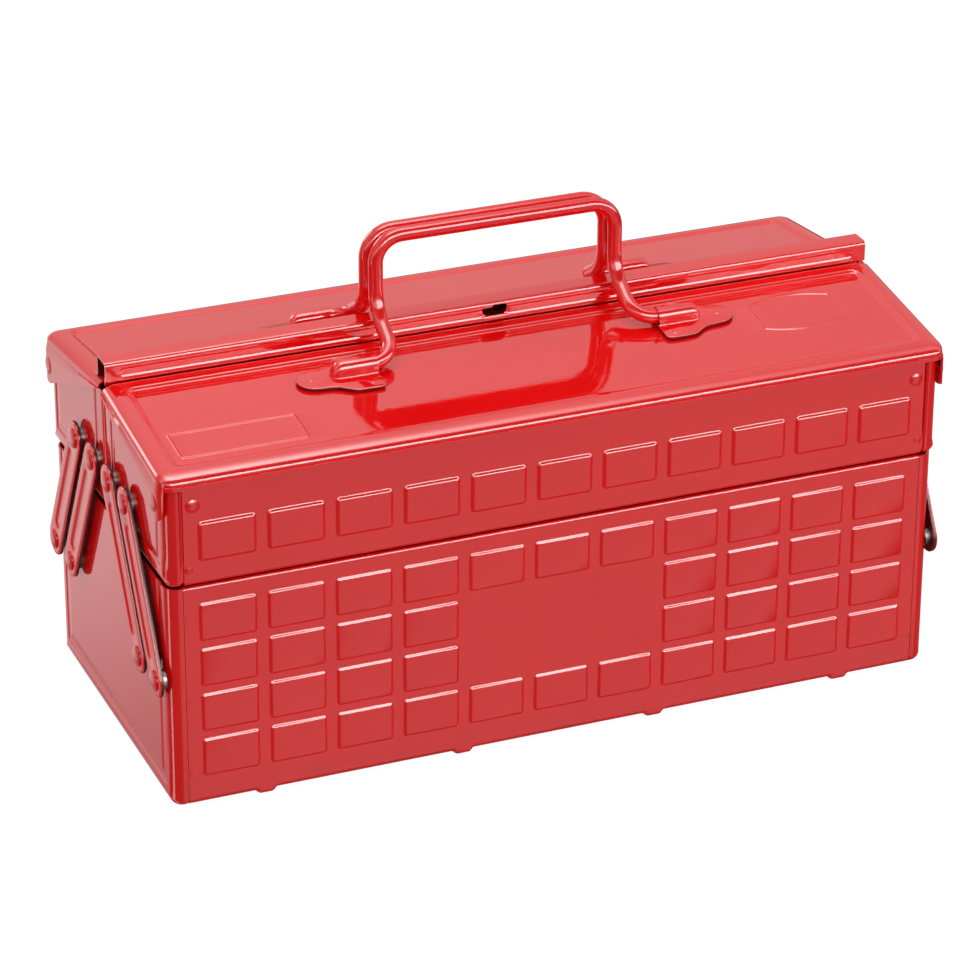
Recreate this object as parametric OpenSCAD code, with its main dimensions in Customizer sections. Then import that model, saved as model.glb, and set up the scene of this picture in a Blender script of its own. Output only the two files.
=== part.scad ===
// Cantilever tool box: lower box, two trays on parallel arms, two hinged lids, two bail handles.
// Axes: X along the length, Y to the back, Z up. Origin at the bottom centre, on the floor.

/* [Lower box] */
// Length of the lower box over its end faces
box_l = 447; // [420:1:480]
// Depth of the lower box, front to back
box_d = 196; // [188:1:210]
// Height of the lower box over its feet
box_h = 133; // [124:1:140]
// Sheet thickness
sheet = 1.0; // [0.8:0.1:1.2]
// Corner radius of the end pans
corner_r = 8; // [6:0.5:9]
// Bend radius between the front wall and the bottom
bend_r = 5; // [4:0.5:8]
// Height of the pressed feet under the bottom
foot_h = 2; // [1.5:0.5:3]
// Number of pressed feet
feet = 4; // [3:1:4]
// Distance between two feet
foot_pitch = 113.6; // [90:0.2:116]
// Distance from the end face to the seam of the end pan
seam = 9.3; // [9:0.1:12]

/* [Pressed panels] */
// Pitch of the raised panels along the front
panel_pitch = 38; // [36:0.5:39]
// Length of one raised panel
panel_l = 32.7; // [30:0.1:34]
// Height of one raised panel
panel_h = 23.4; // [21:0.2:24]
// Pitch of the panel rows, up the wall
row_pitch = 27; // [26:0.5:28]
// How far a panel stands out of the wall
panel_out = 0.8; // [0.4:0.1:1.2]

/* [Trays] */
// How far the trays stand out past the lower box at the ends
tray_over = 0.4; // [0.2:0.1:2]
// How far the trays stand out past the lower box at the front and back
tray_front = 1.8; // [1:0.1:2.5]
// Gap between lower box and trays
tray_gap = 1.4; // [1:0.1:2]
// Gap between the two trays
centre_gap = 2.4; // [1.6:0.2:4]
// Height of a tray's front wall
tray_h = 60; // [56:1:62]

/* [Arms] */
// Distance between the two pivots of an arm
arm_rise = 82.4; // [80:0.2:83]
// Sideways lean of a closed arm between its pivots
arm_lean = 45.6; // [44:0.2:48]
// Spacing of the two arms of a pair
arm_pitch = 28.8; // [27:0.2:29]
// Distance from the centre to the inner arm's upper pivot
arm_in = 14.4; // [13:0.2:16]
// Width of an arm
arm_w = 19; // [17:0.5:21]
// Thickness of an arm
arm_t = 2; // [1.6:0.1:2.2]
// Distance of the lower pivots below the top of the lower box
pivot_drop = 56; // [53:1:60]
// Gap between a tray's end and the arms
arm_stand = 2.8; // [2:0.1:3.4]
// Diameter of the rivet shanks
rivet_d = 6; // [5:0.5:7]
// Diameter of the rivet heads
head_d = 11.5; // [10:0.5:13]

/* [Lids] */
// Distance of a lid's pivot from the centre
lid_pivot_y = 91; // [90:0.5:92]
// Slope of the lids in degrees
lid_slope = 7; // [6:0.5:8]
// Gap between a tray's end and the lid's end flange
lid_stand = 1.3; // [1:0.1:1.8]
// Depth of the recessed field in the lids
field_in = 1.2; // [0.8:0.1:1.5]
// How far the ridge stands out past the lower box at the ends
ridge_over = 0.2; // [-1:0.1:2]
// Width of the ridge over the joint of the lids
ridge_w = 14; // [12:0.5:16]

/* [Handles] */
// Diameter of the handle rod
rod_d = 8; // [7:0.5:8.5]
// Distance between the legs of a handle
grip_l = 140; // [120:2:160]
// Height of the handle bars above the top of the lids
grip_h = 59.5; // [50:0.5:64]
// Distance of the handle's pivot line from the centre
hinge_y = 33; // [31:0.5:36]

/* [Hidden] */
$fn = 48;
run = 0.05;                       // radial running clearance of a pivot
loose = 0.4;                      // radial clearance of a pivot that is opened in the linkage
slack = 0.1;                      // side clearance of an arm or a flange
end_x = box_l / 2;
front_y = box_d / 2;
bot_z = foot_h;
tray_x = end_x + tray_over;
tray_y = front_y + tray_front;
tray_z = box_h + tray_gap;
tray_top = tray_z + tray_h;
arm_x = tray_x + arm_stand;       // inner face of the arms
pivot_z = box_h - pivot_drop;     // height of the lower pivots
tray_seam = seam + tray_over - 0.4;
head_x = arm_x + arm_t + slack;
flange_x = tray_x + lid_stand;    // inner face of a lid's end flange
lid_x = flange_x + sheet;
lid_y = tray_y + 2.5;             // outer face of the lip
lid_pz = tray_z + 48.1;           // height of the lid pivots
sl = tan(lid_slope);
lid_z0 = tray_z + 77.32;          // lid surface carried on to the centre plane
lip_z = tray_z + 57.4;            // lower edge of the lip
lip_r = 7;
up_in = arm_in;
up_out = arm_in + arm_pitch;
up_z = pivot_z + arm_rise;
low_in = up_in + arm_lean;
low_out = up_out + arm_lean;
ridge_y = 4.5;                    // front face of the ridge, in front of the centre
ridge_z = lid_z0 + 11.2;
ridge_low = lid_z0 - 0.6;
ridge_end = end_x + ridge_over;
hole_z = ridge_z - 4.4;           // height of the padlock hole
bar_z = lid_z0 + grip_h;
axis_z = lid_z0 - hinge_y * sl + 0.6 + rod_d / 2;
rod_r = rod_d / 2;
plate_z = lid_z0 + 0.1;

enamel = [0.85, 0.02, 0.05];
enamel_arm = [0.80, 0.02, 0.05];
zinc = [0.62, 0.62, 0.60];

// ---------- shapes drawn once ----------
// 2D rectangle with round corners where the four flags are 1
module soft(x0, x1, y0, y1, r) {
  union() {
    translate([x0 + r, y0]) square([x1 - x0 - 2 * r, y1 - y0]);
    translate([x0, y0 + r]) square([x1 - x0, y1 - y0 - 2 * r]);
    for (x = [x0 + r, x1 - r])
      for (y = [y0 + r, y1 - r])
        translate([x, y]) circle(r);
  }
}
// the same with round corners below only
module soft_low(x0, x1, y0, y1, r) {
  union() {
    translate([x0 + r, y0]) square([x1 - x0 - 2 * r, y1 - y0]);
    translate([x0, y0 + r]) square([x1 - x0, y1 - y0 - r]);
    for (x = [x0 + r, x1 - r])
      translate([x, y0 + r]) circle(r);
  }
}
module along_x(x0, x1) {
  translate([x0, 0, 0]) rotate([90, 0, 90]) linear_extrude(x1 - x0) children();
}
module along_y(y0, y1) {
  translate([0, y1, 0]) rotate([90, 0, 0]) linear_extrude(y1 - y0) children();
}
module disc_x(x0, x1, y, z, d) {
  translate([x0, y, z]) rotate([0, 90, 0]) cylinder(d = d, h = x1 - x0);
}
module mirrored_x(side) {
  mirror([side > 0 ? 1 : 0, 0, 0]) children();
}
module mirrored_y(back) {
  mirror([0, back, 0]) children();
}

// ---------- lower box ----------
module box_body(i, top) {
  intersection() {
    translate([0, 0, bot_z + i])
      linear_extrude(top - bot_z - i) soft(-end_x + i, end_x - i, -front_y + i, front_y - i, corner_r - i);
    along_x(-end_x - 1, end_x + 1)
      soft_low(-front_y + i, front_y - i, bot_z + i, top + 1, bend_r - i);
    along_y(-front_y - 1, front_y + 1)
      soft_low(-end_x + i, end_x - i, bot_z + i, top + 1, corner_r - 1.5 - i);
  }
}
module box_wrap_profile() {
  difference() {
    soft_low(-front_y, front_y, bot_z, box_h, bend_r);
    difference() {
      soft_low(-front_y + sheet, front_y - sheet, bot_z + sheet, box_h + 1, bend_r - sheet);
      for (s = [-1, 1])
        translate([s > 0 ? front_y - 2 * sheet - 0.2 : -front_y, box_h - 7])
          square([2 * sheet + 0.2, 8]);
    }
  }
}
module base_wrap() {
  color(enamel) union() {
    along_x(-end_x + seam, end_x - seam) box_wrap_profile();
    for (i = [0 : feet - 1])
      translate([(i - (feet - 1) / 2) * foot_pitch - 6.5, -front_y + bend_r + 1, 0])
        cube([13, box_d - 2 * bend_r - 2, bot_z + sheet / 2]);
    for (c = [0 : 10])
      for (r = [0 : 3])
        if (r == 0 || r == 3 || c < 4 || c > 6)
          for (s = [-1, 1])
            translate([(c - 5) * panel_pitch - panel_l / 2,
                s < 0 ? -front_y - panel_out : front_y - sheet / 2,
                box_h - 9.8 - panel_h - r * row_pitch])
              cube([panel_l, panel_out + sheet / 2, panel_h]);
  }
}
module base_end(side) {
  mirrored_x(side) color(enamel) difference() {
    union() {
      intersection() {
        difference() {
          box_body(0, box_h);
          box_body(sheet, box_h + 1);
        }
        translate([-end_x - 1, -front_y - 1, -1]) cube([seam + 1 - 0.3, box_d + 2, box_h + 3]);
      }
      // joggled flange that lies behind the wrap, stopped short of its hem
      intersection() {
        difference() {
          box_body(sheet + 0.05, box_h - 8);
          box_body(2 * sheet + 0.05, box_h + 1);
        }
        translate([-end_x + 3, -front_y - 1, -1]) cube([seam + 7, box_d + 2, box_h + 3]);
      }
      intersection() {
        difference() {
          box_body(sheet / 2, box_h - 8);
          box_body(sheet * 1.5, box_h + 1);
        }
        translate([-end_x + 3, -front_y - 1, -1]) cube([4, box_d + 2, box_h + 3]);
      }
      // rolled top edge
      translate([-end_x + sheet / 2, -front_y + 12, box_h - 4]) cube([2 * sheet, box_d - 24, 4]);
    }
    for (y = [-low_out, -low_in, low_in, low_out])
      disc_x(-end_x - 1, -end_x + 6, y, pivot_z, rivet_d + 0.1);
    // pressed line that frames the end
    translate([-end_x - 1, 0, 0]) along_x(0, 1.4) difference() {
      translate([-front_y + 12, 11]) square([box_d - 24, box_h - 20]);
      translate([-front_y + 13.6, 12.6]) square([box_d - 27.2, box_h - 23.2]);
    }
  }
}
module base_spacers() {
  color(zinc) for (s = [0, 1])
    mirror([s, 0, 0])
      for (y = [-low_out, -low_in, low_in, low_out])
        difference() {
          disc_x(-arm_x + slack, -end_x, y, pivot_z, head_d - 0.5);
          disc_x(-arm_x, -end_x + 1, y, pivot_z, rivet_d + 0.1);
        }
}
// a pivot rivet: shank, inner clinch and domed head
module rivet(x_in, x_wall, x_head, y, z) {
  disc_x(-x_head - 0.3, -x_wall + 2 * sheet + 1.3, y, z, rivet_d);
  disc_x(-x_wall + 2 * sheet + 0.1, -x_wall + 2 * sheet + 1.3, y, z, rivet_d + 2);
  disc_x(-x_head - 0.5, -x_head, y, z, head_d);
  translate([-x_head - 0.5, y, z]) rotate([0, -90, 0]) cylinder(d1 = head_d, d2 = head_d - 5, h = 1.1);
}
module base_rivets() {
  color(enamel) for (s = [0, 1])
    mirror([s, 0, 0])
      for (y = [-low_out, -low_in, low_in, low_out])
        rivet(0, end_x, head_x, y, pivot_z);
}

// ---------- trays (drawn for the front, mirrored for the rear) ----------
module tray_wrap_profile() {
  difference() {
    soft_low(-tray_y, -centre_gap / 2, tray_z, tray_top + 3, 3);
    soft_low(-tray_y + sheet, -centre_gap / 2 - sheet, tray_z + sheet, tray_top + 20, 3 - sheet);
    translate([-tray_y - 1, tray_top]) square([box_d, 20]);
  }
}
module tray_wrap() {
  color(enamel) union() {
    along_x(-tray_x + tray_seam, tray_x - tray_seam) tray_wrap_profile();
    for (c = [0 : 10])
      translate([(c - 5) * panel_pitch - panel_l / 2, -tray_y - panel_out, tray_z + 13.3])
        cube([panel_l, panel_out + sheet / 2, panel_h + 0.4]);
  }
}
// outline of a tray from above and its gabled end
module tray_body(i, top) {
  intersection() {
    translate([0, 0, tray_z + i])
      linear_extrude(100) soft(-tray_x + i, tray_x - i, -tray_y + i, -centre_gap / 2 - i, 3.5 - i);
    along_x(-tray_x - 1, tray_x + 1) soft_low(-tray_y + i, -centre_gap / 2 - i, tray_z + i, tray_z + 110, 3 - i);
    along_x(-tray_x - 1, tray_x + 1)
      polygon([[-tray_y + i, tray_z + i], [-centre_gap / 2 - i, tray_z + i],
        [-centre_gap / 2 - i, top + (tray_y - 5) * sl], [-tray_y + 6, top], [-tray_y + i, top - 3]]);
    // rounder vertical corner at the outside
    translate([0, 0, tray_z - 1]) linear_extrude(120) union() {
      soft(-tray_x + i, tray_x - i, -tray_y + i, 40, corner_r - i);
    }
  }
}
module tray_end(side) {
  mirrored_x(side) color(enamel) difference() {
    union() {
      intersection() {
        difference() {
          tray_body(0, tray_top - 1);
          tray_body(sheet, tray_top + 20);
        }
        translate([-tray_x - 1, -tray_y - 1, tray_z - 1]) cube([tray_seam + 1 - 0.3, box_d, 100]);
      }
      intersection() {
        difference() {
          tray_body(sheet + 0.05, tray_top - 4);
          tray_body(2 * sheet + 0.05, tray_top + 20);
        }
        translate([-tray_x + 3, -tray_y - 1, tray_z - 1]) cube([tray_seam + 6, box_d, 100]);
      }
      intersection() {
        difference() {
          tray_body(sheet / 2, tray_top - 4);
          tray_body(sheet * 1.5, tray_top + 20);
        }
        translate([-tray_x + 3, -tray_y - 1, tray_z - 1]) cube([4, box_d, 100]);
      }
    }
    for (y = [-up_out, -up_in])
      disc_x(-tray_x - 1, -tray_x + 6, y, up_z, rivet_d + 0.1);
    disc_x(-tray_x - 1, -tray_x + 6, -lid_pivot_y, lid_pz, rivet_d + 0.1);
  }
}
module tray_spacers() {
  color(zinc) for (s = [0, 1])
    mirror([s, 0, 0])
      for (y = [-up_out, -up_in])
        difference() {
          disc_x(-arm_x + slack, -tray_x, y, up_z, head_d - 0.5);
          disc_x(-arm_x, -tray_x + 1, y, up_z, rivet_d + 0.1);
        }
}
module tray_rivets() {
  color(enamel) for (s = [0, 1])
    mirror([s, 0, 0])
      for (y = [-up_out, -up_in])
        rivet(0, tray_x, head_x, y, up_z);
}
module lid_rivets() {
  color(enamel) for (s = [0, 1])
    mirror([s, 0, 0]) {
      rivet(0, tray_x, lid_x + slack, -lid_pivot_y, lid_pz);
      disc_x(-flange_x + slack, -tray_x, -lid_pivot_y, lid_pz, head_d - 1.5);
    }
}

// ---------- lids (drawn for the front) ----------
// height of the lid's outer surface above y
function lid_top(y) = lid_z0 + y * sl;
arc_y = -lid_y + lip_r;
arc_z = lid_z0 + arc_y * sl - lip_r / cos(lid_slope);
module lid_section(back_y) {
  union() {
    translate([-lid_y, lip_z]) square([sheet, arc_z - lip_z]);
    translate([arc_y, arc_z]) intersection() {
      difference() {
        circle(lip_r);
        circle(lip_r - sheet);
      }
      polygon([[0, 0], [-20, 0], [-20, 20], [-20 * sin(lid_slope), 20 * cos(lid_slope)]]);
    }
    polygon([[arc_y - lip_r * sin(lid_slope), arc_z + lip_r * cos(lid_slope)],
      [arc_y - (lip_r - sheet) * sin(lid_slope), arc_z + (lip_r - sheet) * cos(lid_slope)],
      [back_y, lid_top(back_y) - sheet / cos(lid_slope)], [back_y, lid_top(back_y)]]);
  }
}
// end flange: tall round the pivot, narrow at the centre
module flange_shape(back_y) {
  difference() {
    union() {
      translate([-lid_pivot_y, lid_pz]) circle(10.3);
      polygon([[-lid_pivot_y - 10.3, lid_pz], [-lid_pivot_y + 7, lid_pz - 7.6], [back_y, lid_top(back_y) - 4.6],
        [back_y, lid_top(back_y) - 0.3], [arc_y - 2, arc_z + lip_r - 0.6],
        [-lid_y + 1.6, arc_z + 2.5], [-lid_y + 0.3, arc_z], [-lid_y + 0.3, lip_z]]);
    }
    translate([-lid_pivot_y, lid_pz]) circle(rivet_d / 2 + run);
  }
}
module on_slope(y) {
  translate([0, y, lid_top(y)]) rotate([lid_slope, 0, 0]) children();
}
field_y0 = -91;
field_y1 = -15;
field_x = 214.5;
module lid_sheet(back_y) {
  difference() {
    along_x(-lid_x, lid_x) lid_section(back_y);
    on_slope(field_y0) translate([-field_x, 0, -3]) cube([2 * field_x, (field_y1 - field_y0) / cos(lid_slope), 8]);
  }
  // recessed field with its stepped border
  on_slope(field_y0) translate([-field_x - sheet, -sheet, -sheet - field_in])
    cube([2 * field_x + 2 * sheet, (field_y1 - field_y0) / cos(lid_slope) + 2 * sheet, sheet]);
  for (s = [-1, 1])
    on_slope(field_y0) translate([s > 0 ? field_x : -field_x - sheet, -sheet, -sheet - field_in])
      cube([sheet, (field_y1 - field_y0) / cos(lid_slope) + 2 * sheet, field_in + sheet]);
  for (y = [-sheet, (field_y1 - field_y0) / cos(lid_slope)])
    on_slope(field_y0) translate([-field_x, y, -sheet - field_in]) cube([2 * field_x, sheet, field_in + sheet]);
}
module lid_flanges(back_y) {
  for (s = [0, 1])
    mirror([s, 0, 0]) along_x(-lid_x, -flange_x) flange_shape(back_y);
}
module front_lid() {
  color(enamel) union() {
    lid_sheet(-ridge_y - 0.8);
    lid_flanges(-ridge_y - 0.8);
    // stiffening edge turned down along the centre
    along_x(-lid_x + 4, lid_x - 4) translate([-ridge_y - 0.8 - sheet, lid_top(-6) - 4.5]) square([sheet, 4.2]);
  }
}
module rear_lid() {
  mirrored_y(1) color(enamel) union() {
    lid_sheet(-2);
    lid_flanges(-2);
    along_x(-lid_x + 4, lid_x - 4) translate([-2 - sheet, lid_top(-2) - 5]) square([sheet, 4.2]);
  }
}
// raised channel over the joint, open in front below its hemmed edge
module ridge_profile() {
  y0 = -ridge_y;
  y1 = -ridge_y + ridge_w;
  union() {
    difference() {
      union() {
        translate([y0, ridge_low]) square([ridge_w, ridge_z - ridge_low - 2.5]);
        translate([y0 + 2.5, ridge_low]) square([ridge_w - 5, ridge_z - ridge_low]);
        for (y = [y0 + 2.5, y1 - 2.5])
          translate([y, ridge_z - 2.5]) circle(2.5);
      }
      translate([y0 + sheet, ridge_low - 1]) square([ridge_w - 2 * sheet, ridge_z - ridge_low + 1 - 2.5]);
      translate([y0 + 2.5, ridge_low - 1]) square([ridge_w - 5, ridge_z - ridge_low + 1 - sheet]);
      for (y = [y0 + 2.5, y1 - 2.5])
        translate([y, ridge_z - 2.5]) circle(2.5 - sheet);
    }
    // back wall down to the rear lid and the foot welded on it
    translate([y1 - sheet, lid_top(-y1 + sheet)]) square([sheet, 4]);
    polygon([[y1 - sheet, lid_top(-y1 + sheet)], [y1 + 5, lid_top(-y1 - 5)], [y1 + 5, lid_top(-y1 - 5) + sheet],
      [y1 - sheet, lid_top(-y1 + sheet) + sheet]]);
  }
}
module rear_ridge() {
  color(enamel) difference() {
    union() {
      along_x(-ridge_end, ridge_end) ridge_profile();
      // hem of the front edge
      translate([-ridge_end, -ridge_y + sheet / 2, ridge_low]) cube([2 * ridge_end, sheet, 3]);
    }
    // padlock hole, an oblong
    along_y(-ridge_y - 1, -ridge_y + 2.4) union() {
      for (x = [-4.2, 2])
        translate([x, hole_z]) circle(3.4);
      translate([-4.2, hole_z - 3.4]) square([6.2, 6.8]);
    }
  }
}
module rear_lock_tab() {
  // tab welded under the top of the ridge, hanging behind the padlock hole
  color(enamel) along_x(-12, -1.5) translate([-1.6, ridge_z - sheet])
    polygon([[0, 0], [5, 0], [5, -sheet], [sheet, -sheet], [sheet, -3.7], [0, -3.7]]);
}

// ---------- handle and its brackets ----------
// half section of a turned cover with a round nose
module cover_profile(r, l) {
  polygon([[0, 0], [r, 0], [r, l], [0.92 * r, l + 0.4 * r], [0.7 * r, l + 0.72 * r],
    [0.38 * r, l + 0.93 * r], [0, l + 0.93 * r]]);
}
// saddle over the rod end: a half-round cover with a flat plate on the lid
module bracket(side) {
  mirrored_x(side > 0 ? 0 : 1) color(enamel) difference() {
    union() {
      on_slope(-hinge_y) {
        translate([82, -17.5, 0]) cube([19, 35, 0.8]);
        translate([100, -9, 0]) cube([17, 18, 0.8]);
        translate([117, 0, 0]) cylinder(d = 18, h = 0.8);
      }
      translate([82, -hinge_y, axis_z]) rotate([0, 90, 0]) rotate_extrude() cover_profile(rod_r + 0.8 + run, 21);
      translate([82, -hinge_y - rod_r - 0.85, lid_top(-hinge_y) + 0.3])
        cube([21, rod_d + 1.7, axis_z - lid_top(-hinge_y) - 0.3]);
    }
    disc_x(81, 103.4, -hinge_y, axis_z, rod_d + 2 * run);
    // keep clear of the lid sheet
    on_slope(-hinge_y) translate([70, -30, -6]) cube([70, 60, 6]);
    translate([80, -hinge_y - rod_r - run, lid_top(-hinge_y) - 3])
      cube([23.4, rod_d + 2 * run, axis_z - lid_top(-hinge_y) + 3]);
  }
}
module bend(r, a) {
  rotate_extrude(angle = a) translate([r, 0]) circle(d = rod_d);
}
// straight length of rod between two points
module rod(p, q) {
  d = q - p;
  l = norm(d);
  translate(p) rotate([0, acos(d[2] / l), atan2(d[1], d[0])]) cylinder(d = rod_d, h = l);
}
bar_y = rod_r + 0.3;
bend_top = 16;
leg_z = lid_z0 + 20.3;
// rounded corner of the rod
module corner(p) {
  translate(p) sphere(d = rod_d + 0.1);
}
module handle() {
  g = grip_l / 2;
  color(enamel) union() {
    rod([-g + bend_top, -bar_y, bar_z], [g - bend_top, -bar_y, bar_z]);
    for (s = [0, 1])
      mirror([s, 0, 0]) {
        translate([g - bend_top, -bar_y, bar_z - bend_top]) rotate([90, 0, 0]) bend(bend_top, 90);
        rod([g, -bar_y, bar_z - bend_top], [g, -bar_y, leg_z]);
        corner([g, -bar_y, leg_z]);
        rod([g, -bar_y, leg_z], [g, -hinge_y, axis_z]);
        corner([g, -hinge_y, axis_z]);
        rod([g, -hinge_y, axis_z], [103, -hinge_y, axis_z]);
      }
  }
}

// ---------- arms ----------
// drawn at the left end for the front; low and high say which pivots it joins
module arm(low_y, high_y, high_run) {
  ang = atan2(high_y - low_y, arm_rise);
  len = norm([high_y - low_y, arm_rise]);
  color(enamel_arm) translate([-arm_x - arm_t, -low_y, pivot_z]) rotate([ang, 0, 0]) difference() {
    union() {
      rotate([90, 0, 90]) linear_extrude(arm_t) union() {
        circle(d = arm_w);
        translate([0, len]) circle(d = arm_w);
        translate([-arm_w / 2, 0]) square([arm_w, len]);
      }
    }
    rotate([90, 0, 90]) translate([0, 0, -1]) linear_extrude(arm_t + 2) circle(d = rivet_d + 2 * run);
    rotate([90, 0, 90]) translate([0, len, -1]) linear_extrude(arm_t + 2) circle(d = rivet_d + 2 * high_run);
    // long pressed recess between the pivots
    rotate([90, 0, 90]) translate([0, 0, -1]) linear_extrude(1 + 0.7) union() {
      translate([0, 16]) circle(d = 6);
      translate([0, len - 16]) circle(d = 6);
      translate([-3, 16]) square([6, len - 32]);
    }
  }
}
module arm_at(back, side, outer) {
  mirrored_y(back) mirrored_x(side > 0 ? 1 : 0)
    arm(outer ? low_out : low_in, outer ? up_out : up_in, (outer && side < 0) ? run : loose);
}

base_wrap();
base_end(0);  // base_end_left
base_end(1);  // base_end_right
base_spacers();
base_rivets();
tray_wrap();  // front_tray_wrap
tray_end(0);  // front_tray_end_left
tray_end(1);  // front_tray_end_right
tray_spacers();  // front_tray_spacers
tray_rivets();  // front_tray_rivets
lid_rivets();  // front_lid_rivets
mirrored_y(1) tray_wrap();  // rear_tray_wrap
mirrored_y(1) tray_end(0);  // rear_tray_end_left
mirrored_y(1) tray_end(1);  // rear_tray_end_right
mirrored_y(1) tray_spacers();  // rear_tray_spacers
mirrored_y(1) tray_rivets();  // rear_tray_rivets
mirrored_y(1) lid_rivets();  // rear_lid_rivets
front_lid();
bracket(-1);  // front_bracket_left
bracket(1);  // front_bracket_right
rear_lid();
rear_ridge();
rear_lock_tab();
mirrored_y(1) bracket(-1);  // rear_bracket_left
mirrored_y(1) bracket(1);  // rear_bracket_right
handle();  // front_handle
mirrored_y(1) handle();  // rear_handle
arm_at(0, -1, true);  // front_arm_outer_left
arm_at(0, -1, false);  // front_arm_inner_left
arm_at(0, 1, true);  // front_arm_outer_right
arm_at(0, 1, false);  // front_arm_inner_right
arm_at(1, -1, true);  // rear_arm_outer_left
arm_at(1, -1, false);  // rear_arm_inner_left
arm_at(1, 1, true);  // rear_arm_outer_right
arm_at(1, 1, false);  // rear_arm_inner_right
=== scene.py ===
"""Looks of a red cantilever tool box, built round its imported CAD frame. Shapes are worked out in
millimetres and written to meshes in metres."""

import math

import bpy
import numpy as np
from mathutils import Matrix, Vector


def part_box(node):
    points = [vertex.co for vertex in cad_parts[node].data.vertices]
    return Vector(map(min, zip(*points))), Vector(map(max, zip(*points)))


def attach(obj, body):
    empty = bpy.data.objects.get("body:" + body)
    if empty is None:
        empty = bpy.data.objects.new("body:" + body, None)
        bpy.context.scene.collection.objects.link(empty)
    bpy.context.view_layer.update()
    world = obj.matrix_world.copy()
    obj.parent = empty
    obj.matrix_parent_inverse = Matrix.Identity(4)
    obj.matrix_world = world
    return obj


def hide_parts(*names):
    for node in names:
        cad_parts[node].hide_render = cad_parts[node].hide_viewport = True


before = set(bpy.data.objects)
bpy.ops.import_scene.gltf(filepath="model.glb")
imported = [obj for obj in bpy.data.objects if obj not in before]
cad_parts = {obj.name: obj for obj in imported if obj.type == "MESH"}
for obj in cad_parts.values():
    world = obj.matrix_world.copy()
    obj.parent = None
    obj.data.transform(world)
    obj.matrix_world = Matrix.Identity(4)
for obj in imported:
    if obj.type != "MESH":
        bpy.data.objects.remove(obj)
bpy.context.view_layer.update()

MM = 0.001


def node_box(node):
    """Lowest and highest corner of a CAD node, in millimetres."""
    low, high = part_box(node)
    return np.array(low) / MM, np.array(high) / MM


# ---------- driving sizes, from the frame ----------
wrap_high = node_box("base_wrap")[1]
pan_low = node_box("base_end_left")[0]
tray_high = node_box("front_tray_wrap")[1]
tray_pan_low, tray_pan_high = node_box("front_tray_end_left")
lid_low, lid_high = node_box("front_lid")
ridge_low, ridge_high = node_box("rear_ridge")
rod_high = node_box("front_handle")[1]
arm_high = node_box("front_arm_outer_left")[1]

sheet = 1.0
panel_out = 1.0  # height of a pressed panel
end_x = -pan_low[0]
wall_y = -pan_low[1]
floor_z = pan_low[2]
box_top = wrap_high[2]
seam_x = wrap_high[0]
bend_r = 5.0
tray_x = -tray_pan_low[0]
tray_y = -tray_pan_low[1]
tray_in_y = -tray_pan_high[1]
tray_z = tray_pan_low[2]
tray_top = 60.0 + tray_z
tray_seam_x = tray_high[0]
lid_x = lid_high[0]
lid_y = -lid_low[1]
lid_pivot = (-91.0, 182.5)
lid_turn = math.radians(7.0)
slope = math.tan(lid_turn)
lid_z0 = tray_z + 77.32  # height the lid's plane would have over the middle
lip_z = tray_z + 57.4
ridge_x = ridge_high[0]
ridge_y = -ridge_low[1]
ridge_w = 14.0
ridge_z = ridge_high[2]
ridge_edge = lid_z0 - 0.6
hole_z = ridge_z - 4.4
rod_r = 4.0
bar_y = 4.3
bar_z = rod_high[2] - rod_r
hinge_y = 33.0
hinge_z = lid_z0 - hinge_y * slope + 0.6 + rod_r
rod_end = rod_high[0]
arm_x = -arm_high[0]
arm_t = 2.0
arm_w = 19.0
arm_rise = 82.4
low_pivots = (60.0, 88.8)
high_pivots = (14.4, 43.2)
pivot_z = 77.0
head_d = 11.5

# ---------- small tools ----------


def ease(x, low, high):
    """Smooth step from 0 at low to 1 at high."""
    t = np.clip((x - low) / (high - low), 0.0, 1.0)
    return t * t * (3.0 - 2.0 * t)


def inside(x, y, x0, x1, y0, y1, r):
    """Depth inside a rectangle with round corners, negative outside it."""
    qx = np.abs(x - (x0 + x1) / 2) - ((x1 - x0) / 2 - r)
    qy = np.abs(y - (y0 + y1) / 2) - ((y1 - y0) / 2 - r)
    outer = np.hypot(np.maximum(qx, 0), np.maximum(qy, 0))
    return r - outer - np.minimum(np.maximum(qx, qy), 0)


def lines(*groups):
    """Sorted values for the lines of a grid, with near duplicates dropped."""
    values = np.unique(np.round(np.concatenate([np.atleast_1d(g) for g in groups]), 3))
    return values[np.concatenate([[True], np.diff(values) > 0.04])]


# distances in from the edge of a pressed shape at which a grid gets a line
fine_steps = (-0.3, 0.0, 0.2, 0.4, 0.6, 0.8, 1.0, 1.2, 1.4, 1.6, 1.8, 2.0, 2.2, 2.45, 3.0)
bevel_steps = (0.0, 0.25, 0.5, 0.8, 1.1, 1.4, 1.65, 1.9)


def near(edge, inward, steps=fine_steps):
    """Lines close to an edge, growing wider inward (inward is +1 or -1)."""
    return edge + inward * np.array(steps)


def grid_faces(nu, nv, round_v=False, start=0):
    """Quads of a grid with nu rows of nv points; round_v closes each row."""
    i, j = np.meshgrid(np.arange(nu - 1), np.arange(nv if round_v else nv - 1), indexing="ij")
    k = (j + 1) % nv
    quads = np.stack([i * nv + j, i * nv + k, (i + 1) * nv + k, (i + 1) * nv + j], axis=-1)
    return (quads.reshape(-1, 4) + start).tolist()


def volume(points, faces):
    """Six times the enclosed volume: negative when the faces point inwards."""
    total = 0.0
    for f in faces:
        a = points[f[0]]
        for b, c in zip(f[1:-1], f[2:]):
            total += np.dot(a, np.cross(points[b], points[c]))
    return total


def flip(faces):
    return [list(reversed(f)) for f in faces]


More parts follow.
